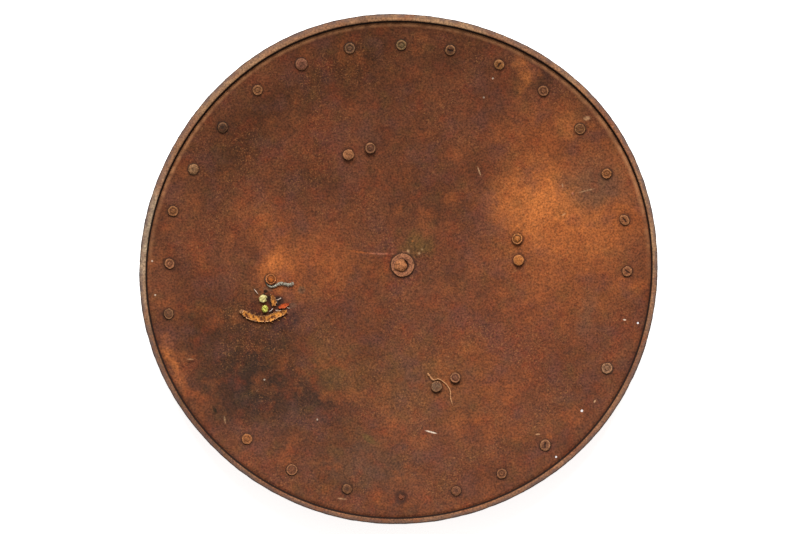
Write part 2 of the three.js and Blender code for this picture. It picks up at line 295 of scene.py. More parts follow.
# Broad stains on the wearer's face: x, y, half width, half length, turn in degrees, tone, strength.
STAINS = [
    (145, 50, 120, 105, 20, "orange", 0.75),
    (122, 58, 56, 62, -10, "golden", 1.0),
    (160, 35, 60, 46, 10, "golden", 0.45),
    (150, -10, 80, 70, 0, "orange", 0.4),
    (195, 62, 36, 60, 0, "orange", 0.6),
    (120, 120, 50, 40, 20, "orange", 0.5),
    (70, -95, 60, 55, 0, "orange", 0.3),
    (-70, 0, 66, 34, 0, "orange", 0.5),
    (150, 30, 34, 22, 0, "orange", 0.5),
    (-101, 8, 38, 46, 0, "orange", 0.85),
    (-103, 8, 22, 30, 0, "golden", 0.6),
    (-78, 82, 50, 36, 20, "umber", 0.5),
    (-152, 72, 40, 40, 0, "umber", 0.5),
    (-66, 112, 30, 36, 0, "red", 0.35),
    (-60, 20, 40, 40, 0, "orange", 0.25),
    (-140, 112, 40, 76, -42, "umber", 0.85),
    (-40, 178, 74, 34, 5, "umber", 0.85),
    (30, 60, 70, 50, 10, "umber", 0.35),
    (58, -4, 34, 18, -25, "umber", 0.35),
    (-125, -90, 74, 66, -35, "umber", 0.95),
    (-140, -105, 70, 70, 0, "black", 0.65),
    (-158, -50, 50, 46, 0, "black", 0.4),
    (-116, 40, 34, 30, 0, "orange", 0.55),
    (-165, -52, 50, 50, 0, "umber", 0.75),
    (-110, -130, 66, 40, -35, "black", 0.5),
    (-40, -175, 80, 44, 10, "umber", 0.6),
    (0, 190, 100, 30, 0, "umber", 0.65),
    (-82, 152, 60, 36, 20, "umber", 0.6),
    (-76, -124, 40, 34, 10, "black", 0.65),
    # The next two are dark rust and also the painted shadow that the strip and the knots cast on the plate.
    (-97, -46, 18, 13, 0, "black", 0.8),
    (-134, -30, 18, 22, 0, "umber", 0.6),
    (-104, -19, 18, 9, 0, "red", 0.6),
    (124, 172, 16, 12, -30, "black", 0.6),
    (110, 168, 10, 18, -20, "golden", 0.6),
    (153, 130, 18, 12, 10, "golden", 0.45),
    (172, 74, 44, 30, 10, "grey", 0.7),
    (118, 84, 18, 26, 0, "orange", 0.4),
    (164, -34, 14, 34, 5, "grey", 0.5),
    (192, -14, 20, 16, 0, "orange", 0.6),
    (200, -58, 16, 30, -15, "red", 0.5),
    (-60, -90, 40, 34, 0, "olive", 0.45),
    (20, -100, 90, 50, 0, "olive", 0.3),
    (-30, -168, 60, 30, 0, "grey", 0.4),
    (22, 22, 16, 14, 30, "olive", 0.5),
    (100, -60, 90, 70, 0, "red", 0.22),
    (-186, -98, 9, 34, 32, "orange", 0.5),
    (-120, -100, 60, 44, -35, "black", 0.35),
    (-200, -80, 8, 40, 25, "golden", 0.5),
    (-66, -120, 50, 36, 20, "black", 0.3),
    (-176, 0, 20, 70, 0, "red", 0.3),
]

# Small marks: x, y, half width, half length, turn in degrees, tone, strength.
MARKS = [
    (28.2, -143.1, 6.5, 0.9, -14, "chalk", 0.8),
    (70.6, 85.4, 0.8, 5.5, 20, "pale", 0.6),
    (165, 68.5, 9, 0.9, 14, "pale", 0.4),
    (152.5, 65.8, 1.6, 1.6, 0, "pink", 0.8),
    (143.5, 73, 0.8, 2.4, 10, "pale", 0.6),
    (144.7, 47.6, 3, 0.7, 32, "pale", 0.45),
    (197.4, -44.6, 1.8, 0.8, -10, "chalk", 0.8),
    (-215.5, 6.7, 1.1, 1.1, 0, "chalk", 0.6),
    (-212.9, -23, 1.1, 1.1, 0, "chalk", 0.6),
    (-117.7, -97.2, 1.1, 1.0, 0, "chalk", 0.5),
    (-123.8, -106.5, 2, 0.8, 45, "grey", 0.9),
    (-71.4, -132.2, 1.0, 1.3, 0, "chalk", 0.5),
    (82.4, 166.6, 1.1, 1.1, 0, "chalk", 0.5),
    (74.5, 150, 1, 1, 0, "chalk", 0.5),
    (160.2, -124, 1.2, 1.2, 0, "chalk", 0.8),
    (121.7, -144.9, 2.6, 0.8, 5, "pale", 0.4),
    # A small pale mark painted as a glint.
    (171.4, -115.9, 1, 2, -30, "pale", 0.7),
    (131.5, -146.3, 3.5, 3.5, 0, "orange", 0.7),
    (-49.3, -201.2, 5, 1, -8, "pale", 0.35),
    (1.8, -199.2, 2.2, 0.8, 0, "chalk", 0.7),
    (-152.1, -131.9, 1, 4.5, 12, "pale", 0.3),
    (-26, -149.2, 9, 4, -35, "olive", 0.6),
    (146, 8, 2.2, 2.2, 0, "red", 0.5),
    (54.8, 8.7, 0.7, 2.6, -20, "black", 0.6),
    (-16, 13.2, 17, 1.1, -1, "pink", 0.55),
    (-34, 14.6, 14, 1.1, -8, "orange", 0.8),
    (8.5, 15, 1.6, 2.6, 20, "pale", 0.7),
    (6, 14.5, 5, 1.6, -10, "pink", 0.55),
    (13, 18, 20, 12, 30, "olive", 0.4),
    (18, 13.5, 1.6, 1.4, 30, "pale", 0.35),
    (20.5, 17, 1.3, 1.1, 0, "pale", 0.25),
    (12, 24, 1.2, 1.2, 0, "golden", 0.5),
    (-10, 6, 4, 14, -10, "red", 0.6),
    (-6, -15, 9, 5, 0, "red", 0.45),
    (164.5, 131.5, 4, 2.4, 10, "pale", 0.4),
    # Two near-black slits of painted shade, the second under a pale line.
    (-160.9, -123.4, 1.8, 4.6, 28, "painted_hollow_shade", 0.95),
    (-182.3, -79.2, 4.2, 0.9, -4, "pale", 0.3),
    (-182.0, -81.4, 5, 1.7, -4, "painted_hollow_shade", 0.9),
    # Around the strap's remains: grey fibre and black spots, and near-black painted shadow under and between
    # the leather and the knots.
    (-105, -28.5, 6.5, 6, 30, "painted_hollow_shade", 0.95),
    (-114.5, -31, 5.5, 13, 0, "painted_hollow_shade", 0.9),
    (-123, -36, 9, 12, 10, "painted_hollow_shade", 0.8),
    (-114.6, -17.8, 6, 2.6, -10, "grey", 0.7),
    (-116.8, -19.8, 2.4, 2.2, 0, "painted_hollow_shade", 0.95),
    (-118.1, -22.2, 1.4, 1.4, 0, "black", 0.9),
    (-85.2, -18.7, 4.4, 4.4, 0, "grey", 0.7),
    (-85.2, -18.7, 1.6, 1.6, 0, "black", 0.8),
    (-94, -32.5, 6, 3.4, 10, "grey", 0.7),
    (-99.4, -46, 20, 12, 25, "painted_hollow_shade", 0.6),
    (-107, -38, 11, 4, 5, "painted_hollow_shade", 0.8),
]


# Sizes in millimetres of the crust's patterns. True rust grain is under half a millimetre, and it
# is drawn three times as coarse so that it shows.
CLOUDS, WANDER, MOTTLE, GRAIN = 40, 70, 8, 1.6
WARMTH, BLOTCHES, FLECKS, CROPS = 13, 21, 1.3, 30
STAIN_SOFTNESS, MARK_SOFTNESS = 1.0, 0.55
# How each drift of the crust's hue runs: its size, its detail and its seed.
DRIFTS = {
    "warmth": (WARMTH, 4, 3.7),
    "blotches": (BLOTCHES, 4, 6.4),
    "flecks": (FLECKS, 1, 8.1),
    "crops": (CROPS, 3, 5.2),
}
# Where on its drift each hue starts and is full, its tone, and its strength.
HUES = [
    ("warmth", 0.53, 0.7, "red", 0.45),
    ("warmth", 0.46, 0.3, "olive", 0.24),
    ("blotches", 0.52, 0.66, "plum", 0.4),
    ("blotches", 0.45, 0.3, "orange", 0.35),
]


def start_material(name):
    """An empty material, its node tree, and the place on the object in millimetres."""
    material = bpy.data.materials.new(name)
    material.use_nodes = True
    tree = material.node_tree
    tree.nodes.clear()
    place = add(tree, "ShaderNodeTexCoord").outputs["Object"]
    solid = add(tree, "ShaderNodeVectorMath", {0: place, 1: PER_MM}, operation="MULTIPLY").outputs[0]
    return material, tree, solid


def finish_material(tree, colour, roughness, gloss, relief, strength, depth):
    """Gives the shader its colour, roughness and gloss, and a relief of depth millimetres."""
    bump = add(tree, "ShaderNodeBump", {"Height": relief, "Strength": strength, "Distance": depth * MM})
    finish = {"Base Color": colour, "Roughness": roughness, "Specular IOR Level": gloss}
    shader = add(tree, "ShaderNodeBsdfPrincipled", {**finish, "Normal": bump.outputs[0]})
    add(tree, "ShaderNodeOutputMaterial", {"Surface": shader.outputs[0]})


def rust_material(name, base, patchy, stains, marks=(), rim=None):
    """Rust as a dull oxide crust: no metal shows, so it is rough and hardly glossy."""
    material, tree, solid = start_material(name)
    flat = add(tree, "ShaderNodeVectorMath", {0: solid, 1: IN_PLAN}, operation="MULTIPLY").outputs[0]

    # Broad clouds of lighter and darker crust, and the wander of every stain's edge.
    links = {"Vector": solid, "Scale": 1 / CLOUDS, "Detail": 6, "Roughness": 0.6}
    clouds = add(tree, "ShaderNodeTexNoise", links)
    links = {0: clouds.outputs["Color"], 1: HALF}
    astray = add(tree, "ShaderNodeVectorMath", links, operation="SUBTRACT").outputs[0]
    links = {0: astray, 1: (WANDER,) * 3, 2: flat}
    stained = add(tree, "ShaderNodeVectorMath", links, operation="MULTIPLY_ADD").outputs[0]
    stained = add(tree, "ShaderNodeVectorMath", {0: stained, 1: IN_PLAN}, operation="MULTIPLY").outputs[0]
    share = add(tree, "ShaderNodeMapRange", {0: clouds.outputs["Fac"], 1: 0.35, 2: 0.65}).outputs[0]
    links = {FACTOR: share, FIRST: linear(base), SECOND: linear(patchy)}
    colour = add(tree, "ShaderNodeMix", links, data_type="RGBA").outputs[MIXED]

    for around, spots, softness in ((stained, stains, STAIN_SOFTNESS), (flat, marks, MARK_SOFTNESS)):
        for x, y, half_width, half_length, turn, tone, strength in spots:
            links = {0: around, 1: (x, y, 0), 2: (0, 0, math.radians(turn)), 3: (half_width, half_length, 1)}
            spot = add(tree, "ShaderNodeMapping", links, vector_type="TEXTURE").outputs[0]
            fade = add(tree, "ShaderNodeTexGradient", {0: spot}, gradient_type="SPHERICAL").outputs["Fac"]
            links = {0: fade, 1: 0, 2: softness, 4: strength}
            share = add(tree, "ShaderNodeMapRange", links, interpolation_type="SMOOTHSTEP").outputs[0]
            links = {FACTOR: share, FIRST: colour, SECOND: linear(RUST[tone])}
            colour = add(tree, "ShaderNodeMix", links, data_type="RGBA").outputs[MIXED]

    # Drifts of warmer and cooler hue, then the mottling of the crust and its grain.
    drifts = {}
    for drift, (size, detail, seed) in DRIFTS.items():
        links = {"Vector": solid, "Scale": 1 / size, "Detail": detail, "W": seed}
        drifts[drift] = add(tree, "ShaderNodeTexNoise", links, noise_dimensions="4D").outputs["Fac"]
    for drift, start, full, tone, strength in HUES:
        share = add(tree, "ShaderNodeMapRange", {0: drifts[drift], 1: start, 2: full, 4: strength}).outputs[0]
        links = {FACTOR: share, FIRST: colour, SECOND: linear(RUST[tone])}
        colour = add(tree, "ShaderNodeMix", links, data_type="RGBA").outputs[MIXED]
    links = {"Vector": solid, "Scale": 1 / MOTTLE, "Detail": 5, "Roughness": 0.7}
    mottle = add(tree, "ShaderNodeTexNoise", links).outputs["Fac"]
    grain = add(tree, "ShaderNodeTexNoise", {"Vector": solid, "Scale": 1 / GRAIN, "Detail": 3}).outputs["Fac"]
    for pattern, darkest, lightest in ((mottle, 0.8, 1.2), (grain, 0.5, 1.5)):
        links = {0: pattern, 1: 0.3, 2: 0.7, 3: darkest, 4: lightest}
        level = add(tree, "ShaderNodeMapRange", links).outputs[0]
        links = {FACTOR: 1, FIRST: colour, SECOND: level}
        colour = add(tree, "ShaderNodeMix", links, data_type="RGBA", blend_type="MULTIPLY").outputs[MIXED]

    # Fresh rust grains that stand out as light flecks, thicker in some patches than in others.
    shown = add(tree, "ShaderNodeMapRange", {0: drifts["flecks"], 1: 0.56, 2: 0.72, 4: 0.5}).outputs[0]
    thick = add(tree, "ShaderNodeMapRange", {0: drifts["crops"], 1: 0.4, 2: 0.65}).outputs[0]
    share = add(tree, "ShaderNodeMath", {0: shown, 1: thick}, operation="MULTIPLY").outputs[0]
    links = {FACTOR: share, FIRST: colour, SECOND: linear(RUST["fleck"])}
    colour = add(tree, "ShaderNodeMix", links, data_type="RGBA").outputs[MIXED]
    if rim:
        colour = rim(tree, colour)

    relief = add(tree, "ShaderNodeMath", {0: mottle, 1: 0.6, 2: grain}, operation="MULTIPLY_ADD").outputs[0]
    rough = add(tree, "ShaderNodeMapRange", {0: mottle, 1: 0.3, 2: 0.7, 3: 0.72, 4: 0.95}).outputs[0]
    finish_material(tree, colour, rough, 0.2, relief, strength=0.6, depth=0.3)
    return material


# Bands round the rim: the radius where each starts, and the radius where it is full.
# The flank carries a painted highlight; the seam and the bead's inner lip carry painted shade.
LIT_FLANK = (213.2, 215.8)
SEAM = (217.3, 217.7)
BEAD_OUTSIDE = (220.6, 223)
BEAD_LIP_SHADE = (219.2, 218.9)
OUTERMOST_LINE = (223.6, 224.7)
# The painted highlight on the flank fades in over this stretch up the plate, towards the light. Sizes of its
# patches and of the bead's worn patches, in metres.
UPPER_HALF = (-20 * MM, 90 * MM)
LIT_FLANK_PATCH = 1 / 160
BEAD_PATCH = 1 / 110


def painted_light_and_shade(tree, colour):
    """A painted highlight on the flank inside the seam, upper half only, and painted shade in the seam and
    round the rivets.
    """
    edge = add(tree, "ShaderNodeAttribute", attribute_name="edge").outputs["Fac"]
    rivet_shade = add(tree, "ShaderNodeAttribute", attribute_name="rivet_shade").outputs["Fac"]
    place = add(tree, "ShaderNodeTexCoord").outputs["Object"]
    upward = add(tree, "ShaderNodeSeparateXYZ", {0: place}).outputs["Y"]
    links = {"Vector": place, "Scale": 1 / LIT_FLANK_PATCH, "Detail": 4}
    worn = add(tree, "ShaderNodeTexNoise", links).outputs["Fac"]
    lit_flank_masks = (
        {0: upward, 1: UPPER_HALF[0], 2: UPPER_HALF[1], 4: 0.95},
        {0: edge, 1: LIT_FLANK[0], 2: LIT_FLANK[1]},
        {0: worn, 1: 0.38, 2: 0.6, 3: 0.35, 4: 1},
    )
    painted_lit_flank = 1
    for links in lit_flank_masks:
        share = add(tree, "ShaderNodeMapRange", links).outputs[0]
        painted_lit_flank = add(tree, "ShaderNodeMath", {0: painted_lit_flank, 1: share}, operation="MULTIPLY").outputs[0]
    seam = add(tree, "ShaderNodeMapRange", {0: edge, 1: SEAM[0], 2: SEAM[1], 4: 0.95}).outputs[0]
    # Painted highlight on the flank, painted shade in the seam, and painted shade round the rivets.
    for share, tone in ((painted_lit_flank, "#A8714A"), (seam, "#240E07"), (rivet_shade, "#2A1710")):
        links = {FACTOR: share, FIRST: colour, SECOND: linear(tone)}
        colour = add(tree, "ShaderNodeMix", links, data_type="RGBA").outputs[MIXED]
    return colour


def bead_wear_and_shade(tree, colour):
    """Grey wear on the bead's outer half, painted shade, near black, on its inner lip by the seam, and a near
    black outermost line.
    """
    edge = add(tree, "ShaderNodeAttribute", attribute_name="edge").outputs["Fac"]
    place = add(tree, "ShaderNodeTexCoord").outputs["Object"]
    links = {"Vector": place, "Scale": 1 / BEAD_PATCH, "Detail": 5, "Roughness": 0.65}
    worn = add(tree, "ShaderNodeTexNoise", links).outputs["Fac"]
    outer = add(tree, "ShaderNodeMapRange", {0: edge, 1: BEAD_OUTSIDE[0], 2: BEAD_OUTSIDE[1]}).outputs[0]
    patchy = add(tree, "ShaderNodeMapRange", {0: worn, 1: 0.36, 2: 0.6, 4: 0.85}).outputs[0]
    wear = add(tree, "ShaderNodeMath", {0: outer, 1: patchy}, operation="MULTIPLY").outputs[0]
    coats = [(wear, "#5F4C46")]
    # Painted shade on the inner lip beside the seam; the outermost line is darkened the same way.
    for (start, full), most in ((BEAD_LIP_SHADE, 0.96), (OUTERMOST_LINE, 0.9)):
        scale = add(tree, "ShaderNodeMapRange", {0: edge, 1: start, 2: full, 4: most}).outputs[0]
        coats.append((scale, "#1A0E08"))
    for share, tone in coats:
        links = {FACTOR: share, FIRST: colour, SECOND: linear(tone)}
        colour = add(tree, "ShaderNodeMix", links, data_type="RGBA").outputs[MIXED]
    return colour


# Rusted wrought iron sheet, red-brown and powdery. The eye reads dull orange-brown with dark clouds.
rusted_sheet = rust_material("rusted_sheet_iron", "#562D18", "#653821", STAINS, MARKS, painted_light_and_shade)
# The rolled bead is rubbed by handling, so its crust is thinner, greyer and lighter.
BEAD_STAINS = [
    (-150, 160, 110, 70, 45, "tan", 0.6),
    (40, 222, 150, 40, 0, "tan", 0.75),
    (170, 150, 70, 90, 45, "orange", 0.6),
    (150, 165, 60, 60, 45, "tan", 0.6),
    (222, 20, 40, 120, 0, "tan", 0.6),
    (-222, 30, 30, 110, 0, "beige", 0.75),
    (-215, -70, 30, 50, 15, "grey", 0.5),
    (-170, -150, 40, 120, 45, "black", 0.5),
    (-224, -12, 8, 14, 0, "chalk", 0.6),
    (0, -222, 120, 30, 0, "grey", 0.4),
]
worn_bead = rust_material("rubbed_rolled_iron", "#7A5036", "#8E6448", BEAD_STAINS, rim=bead_wear_and_shade)
# The front lies down, out of the light, and kept an even darker crust.
FRONT_STAINS = [
    (60, 40, 120, 90, 20, "umber", 0.6),
    (-90, -70, 90, 70, -30, "orange", 0.4),
    (-60, 120, 60, 50, 0, "black", 0.4),
    (120, -110, 60, 70, 40, "red", 0.4),
]
rusted_front = rust_material("rusted_front_sheet_iron", "#5A331F", "#6B4028", FRONT_STAINS)


# The hammer marks fade out towards the crease, and the knocks set in on the bead. Nearly all of
# the knocks' pattern is below KNOCK_LEVEL, so they sink the bead and hardly ever raise it.
MARKS_FADE = (214, 204)
KNOCKS_SET_IN = (219, 221)
KNOCK_LEVEL = 0.75
MARK_SIZE, MARK_DEPTH = 24 * MM, 0.9 * MM
KNOCK_SIZE, KNOCK_DEPTH = 9 * MM, 1.1 * MM


def hammered_tree():
    """Planishing marks shift both faces together, and knocks have dented the bead."""
    sizes = ["Mark size", "Mark depth", "Knock size", "Knock depth"]
    zones = [("Face", "NodeSocketMaterial"), ("Bead", "NodeSocketMaterial"), ("Front", "NodeSocketMaterial")]
    tree, given = new_tree("planished_sheet", sizes, zones)
    place = add(tree, "GeometryNodeInputPosition").outputs[0]
    flat = add(tree, "ShaderNodeVectorMath", {0: place, 1: IN_PLAN}, operation="MULTIPLY").outputs[0]
    edge = add(tree, "GeometryNodeInputNamedAttribute", {"Name": "edge"}).outputs[0]

    steady = add(tree, "ShaderNodeMapRange", {0: edge, 1: MARKS_FADE[0], 2: MARKS_FADE[1]}).outputs[0]
    fine = add(tree, "ShaderNodeMath", {0: 1, 1: given["Mark size"]}, operation="DIVIDE").outputs[0]
    marks = add(tree, "ShaderNodeTexNoise", {"Vector": flat, "Scale": fine, "Detail": 2}).outputs[0]
    about = add(tree, "ShaderNodeMath", {0: marks, 1: 0.5}, operation="SUBTRACT").outputs[0]
    deep = add(tree, "ShaderNodeMath", {0: about, 1: given["Mark depth"]}, operation="MULTIPLY").outputs[0]
    lift = add(tree, "ShaderNodeMath", {0: deep, 1: steady}, operation="MULTIPLY").outputs[0]
    upward = add(tree, "ShaderNodeCombineXYZ", {2: lift}).outputs[0]

    on_bead = add(tree, "ShaderNodeMapRange", {0: edge, 1: KNOCKS_SET_IN[0], 2: KNOCKS_SET_IN[1]}).outputs[0]
    coarse = add(tree, "ShaderNodeMath", {0: 1, 1: given["Knock size"]}, operation="DIVIDE").outputs[0]
    knocks = add(tree, "ShaderNodeTexNoise", {"Vector": place, "Scale": coarse, "Detail": 2}).outputs[0]
    sunk = add(tree, "ShaderNodeMath", {0: knocks, 1: KNOCK_LEVEL}, operation="SUBTRACT").outputs[0]
    dent = add(tree, "ShaderNodeMath", {0: sunk, 1: given["Knock depth"]}, operation="MULTIPLY").outputs[0]
    dent = add(tree, "ShaderNodeMath", {0: dent, 1: on_bead}, operation="MULTIPLY").outputs[0]
    normal = add(tree, "GeometryNodeInputNormal").outputs[0]
    inward = add(tree, "ShaderNodeVectorMath", {0: normal, 3: dent}, operation="SCALE").outputs[0]
    offset = add(tree, "ShaderNodeVectorMath", {0: upward, 1: inward}).outputs[0]
    shape = add(tree, "GeometryNodeSetPosition", {"Geometry": given["Geometry"], "Offset": offset}).outputs[0]

    zone = add(tree, "GeometryNodeInputNamedAttribute", {"Name": "zone"}, data_type="INT").outputs[0]
    for number, name in ((FACE_ZONE, "Face"), (BEAD_ZONE, "Bead"), (FRONT_ZONE, "Front")):
        here = add(tree, "FunctionNodeCompare", {2: zone, 3: number}, data_type="INT", operation="EQUAL")
        links = {"Geometry": shape, "Selection": here.outputs[0], "Material": given[name]}
        shape = add(tree, "GeometryNodeSetMaterial", links).outputs[0]
    add(tree, "NodeGroupOutput", {0: shape})
    return tree


def rivet_places(start):
    """Each CAD rivet whose node name begins with start: its name and its x and y, in millimetres."""
    places = {}
    for node in sorted(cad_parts):
        if node.startswith(start):
            low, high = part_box(node)
            middle = (low + high) / 2 / MM
            places[node] = (middle.x, middle.y)
    return places


RIM_PLACES = rivet_places("rim_rivet_")
STRAP_PLACES = rivet_places("strap_rivet_")
HOLE_RADIUS = 2.3
CENTRE_X, CENTRE_Y = rivet_places("centre_rivet")["centre_rivet"]
CENTRE_HOLE_RADIUS = 5.1
HOLE_SIDES = 14
# Each rove's radius, where its ring of painted shade starts, and how far, how black and how fast it fades.
ROVE_EDGE = 4.7
CENTRE_ROVE_AT, CENTRE_ROVE_EDGE = (3.4, 3.1), 10.75
SHADE_REACH, SHADE_MOST, SHADE_FADE = 2.6, 0.75, 1.5


def plug(frame_here, radius):
    """A short cylinder across the sheet: its points and faces."""
    points = [
        frame_here @ Vector((radius * math.cos(a), radius * math.sin(a), z))
        for z in (-3 * SHEET, 3 * SHEET)
        for a in [math.tau * i / HOLE_SIDES for i in range(HOLE_SIDES)]
    ]
    pairs = [(i, (i + 1) % HOLE_SIDES) for i in range(HOLE_SIDES)]
    faces = [(i, j, HOLE_SIDES + j, HOLE_SIDES + i) for i, j in pairs]
    faces += [tuple(range(HOLE_SIDES)), tuple(range(HOLE_SIDES, 2 * HOLE_SIDES))]
    return points, faces


def make_plate():
    plate = plate_blank()
    rivets = list(RIM_PLACES.values()) + list(STRAP_PLACES.values())
    holes = [(on_face(x, y), HOLE_RADIUS) for x, y in rivets]
    holes.append((on_face(CENTRE_X, CENTRE_Y), CENTRE_HOLE_RADIUS))
    for radius, angle, width in RUST_HOLES:
        x = radius * math.cos(math.radians(angle))
        y = radius * math.sin(math.radians(angle))
        holes.append((on_face(x, y), width / 2))

    # Rivets sit in a ring of painted shade that fades out over a few millimetres.
    rings = [(Vector((x, y)), ROVE_EDGE) for x, y in rivets]
    rings.append((Vector(CENTRE_ROVE_AT), CENTRE_ROVE_EDGE))
    rivet_shade_levels = []
    for vertex in plate.data.vertices:
        spot = Vector(vertex.co[:2]) / MM
        near = min((spot - centre).length - radius for centre, radius in rings)
        rivet_shade_levels.append(SHADE_MOST * max(0, 1 - max(near, 0) / SHADE_REACH) ** SHADE_FADE)
    plate.data.attributes.new("rivet_shade", "FLOAT", "POINT").data.foreach_set("value", rivet_shade_levels)

    points, faces = [], []
    for here, radius in holes:
        more, sides = plug(here, radius)
        faces += [tuple(len(points) + i for i in side) for side in sides]
        points += more
    cutter = mesh_object("hole_punches", points, faces)
    values = {
        "Mark size": MARK_SIZE,
        "Mark depth": MARK_DEPTH,
        "Knock size": KNOCK_SIZE,
        "Knock depth": KNOCK_DEPTH,
        "Face": rusted_sheet,
        "Bead": worn_bead,
        "Front": rusted_front,
    }
    use_tree(plate, hammered_tree(), values)
    punch = plate.modifiers.new("punch", "BOOLEAN")
    punch.object = cutter
    punch.solver = "EXACT"
    settle(plate, sharp=60)
    bpy.data.objects.remove(cutter)
    return plate


plate = make_plate()
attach(plate, "root")
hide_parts("shield_plate")

# ---- The rim rivets -------------------------------------------------------------------------
# Twenty-four iron rivets, one of them broken to a stub, that held the lining. Each has a low head
# in front and is peened behind over a small round rove, and no two were struck alike.

FLAT, RING, DOME, SPLIT, STUB = range(5)

# How each rivet was struck, its width, its length and its tone, by place clockwise from the top.
RIM_LOOKS = {
    1: (RING, 0.96, 0.96, "#6B5536"),
    2: (SPLIT, 1.0, 0.95, "#51341F"),
    3: (SPLIT, 1.0, 0.9, "#84542A"),
    4: (RING, 0.98, 0.98, "#74482C"),
    5: (FLAT, 0.98, 1.0, "#6C4526"),
    6: (RING, 0.9, 0.95, "#92592E"),
    7: (SPLIT, 0.85, 1.06, "#84502D"),
    8: (SPLIT, 0.96, 0.94, "#7F4C2E"),
    10: (RING, 1.02, 1.02, "#866248"),
    12: (SPLIT, 1.0, 1.1, "#6E4730"),
    13: (RING, 0.98, 0.92, "#693F26"),
    14: (DOME, 0.92, 0.92, "#683F29"),
    15: (STUB, 1.0, 1.0, "#6A3620"),
    16: (DOME, 0.9, 0.95, "#5C3B24"),
    17: (FLAT, 1.06, 1.04, "#643B24"),
    18: (RING, 1.0, 0.98, "#92582E"),
    21: (FLAT, 1.0, 0.9, "#5F3F28"),
    22: (RING, 0.98, 0.92, "#7C4C30"),
    23: (RING, 0.96, 0.96, "#7E4E2A"),
    24: (DOME, 1.0, 1.0, "#8B6644"),
    25: (DOME, 0.98, 0.98, "#3C291B"),
    26: (RING, 0.98, 0.94, "#7F5230"),
    27: (DOME, 1.14, 1.16, "#7A4C38"),
    28: (RING, 1.0, 1.0, "#5E4430"),
}

# Outlines of [radius, height above the face, wear], from the front head round to the peened end.
# Wear is 1 on a worn lip and -1 for painted shade, near black, in a hollow. A low fillet fills the
# corner between rove and plate; it is marked -1, so it carries painted shade where the rove meets the plate.
HEAD = [(0, -3.1, 0), (2, -3, 0), (3.4, -2.5, 0), (4.2, -1.8, 0), (4.4, -1.4, 0), (2, -1.35, 0), (2, -0.1, 0)]
FILLET = [(5.35, -0.1, -1), (5.2, 0.06, -1), (4.75, 0.3, -1)]
STRUCK = {
    FLAT: [
        (4.7, 0.9, 0.3),
        (4.4, 1.35, 1),
        (3.9, 1.3, 0.5),
        (3.2, 1.15, -0.4),
        (2.4, 1.4, 0),
        (1.2, 1.5, 0),
        (0, 1.5, 0),
    ],
    RING: [
        (4.7, 0.9, 0.3),
        (4.4, 1.45, 0.8),
        (3.7, 1.55, 0.5),
        (3.0, 1.2, -0.2),
        (2.5, 0.95, -0.55),
        (2.0, 1.05, -0.45),
        (1.6, 1.5, 0.3),
        (1.1, 1.75, 0.45),
        (0.5, 1.6, 0),
        (0, 1.4, -0.5),
    ],
    DOME: [
        (4.7, 0.9, 0),
        (4.4, 1.4, 0.7),
        (3.7, 1.8, 0.4),
        (2.8, 2.1, 0),
        (1.8, 2.2, -0.3),
        (0.9, 2.1, -0.5),
        (0, 2.1, -0.4),
    ],
    SPLIT: [
        (4.7, 0.9, 0.3),
        (4.4, 1.4, 1),
        (3.8, 1.6, 0.7),
        (3.0, 1.7, 0.2),
        (2.2, 1.8, 0.1),
        (1.4, 1.9, 0),
        (0.7, 1.9, 0),
        (0, 1.9, 0),
    ],
    STUB: [(2, 0.5, -0.6), (1.7, 0.8, 0.4), (0.9, 0.7, 0.2), (0, 0.8, 0)],
}
RIVET_SIDES = 28
# The splits lie every which way, in degrees. Every other rivet is turned on from the one before it.
SPLIT_TURNS = {2: 80, 3: -35, 7: 40, 8: 55, 12: 0}
RIM_TURN = 47
RAGGED_SIZE, RAGGED_DEPTH = 2.8 * MM, 1.1 * MM


def lathe(name, outline, sides):
    """A mesh turned about Z from (radius, height, wear), closed on the axis or on itself."""
    points, faces, wear = [], [], []
    first = last = None
    for station, (radius, height, worn) in enumerate(outline):
        count = 1 if radius == 0 else sides
        closing = station and radius and outline[station] == outline[0]
        ring = list(first) if closing else []
        for i in range(0 if closing else count):
            angle = math.tau * i / count
            ring.append(len(points))
            points.append((radius * math.cos(angle), radius * math.sin(angle), height))
            wear.append(worn)
        if last and len(last) == len(ring):
            faces += [(last[i], last[(i + 1) % count], ring[(i + 1) % count], ring[i]) for i in range(count)]
        elif last:
            pole, around = (last[0], ring) if len(last) == 1 else (ring[0], last)
            faces += [(pole, p, q) for p, q in zip(around, around[1:] + around[:1])]
        first = first or ring
        last = ring
    obj = mesh_object(name, points, faces)
    obj.data.attributes.new("wear", "FLOAT", "POINT").data.foreach_set("value", wear)
    return obj


def cut_slot(obj, half_width, reach, depth):
    """Sinks a split across the peened end and marks it for painted shade, so that it reads dark."""
    wear = obj.data.attributes["wear"].data
    for vertex in obj.data.vertices:
        x, y, z = vertex.co / MM
        if z > 0.5 and abs(x) < half_width and math.hypot(x, y) < reach:
            vertex.co.z -= depth * MM
            wear[vertex.index].value = -1


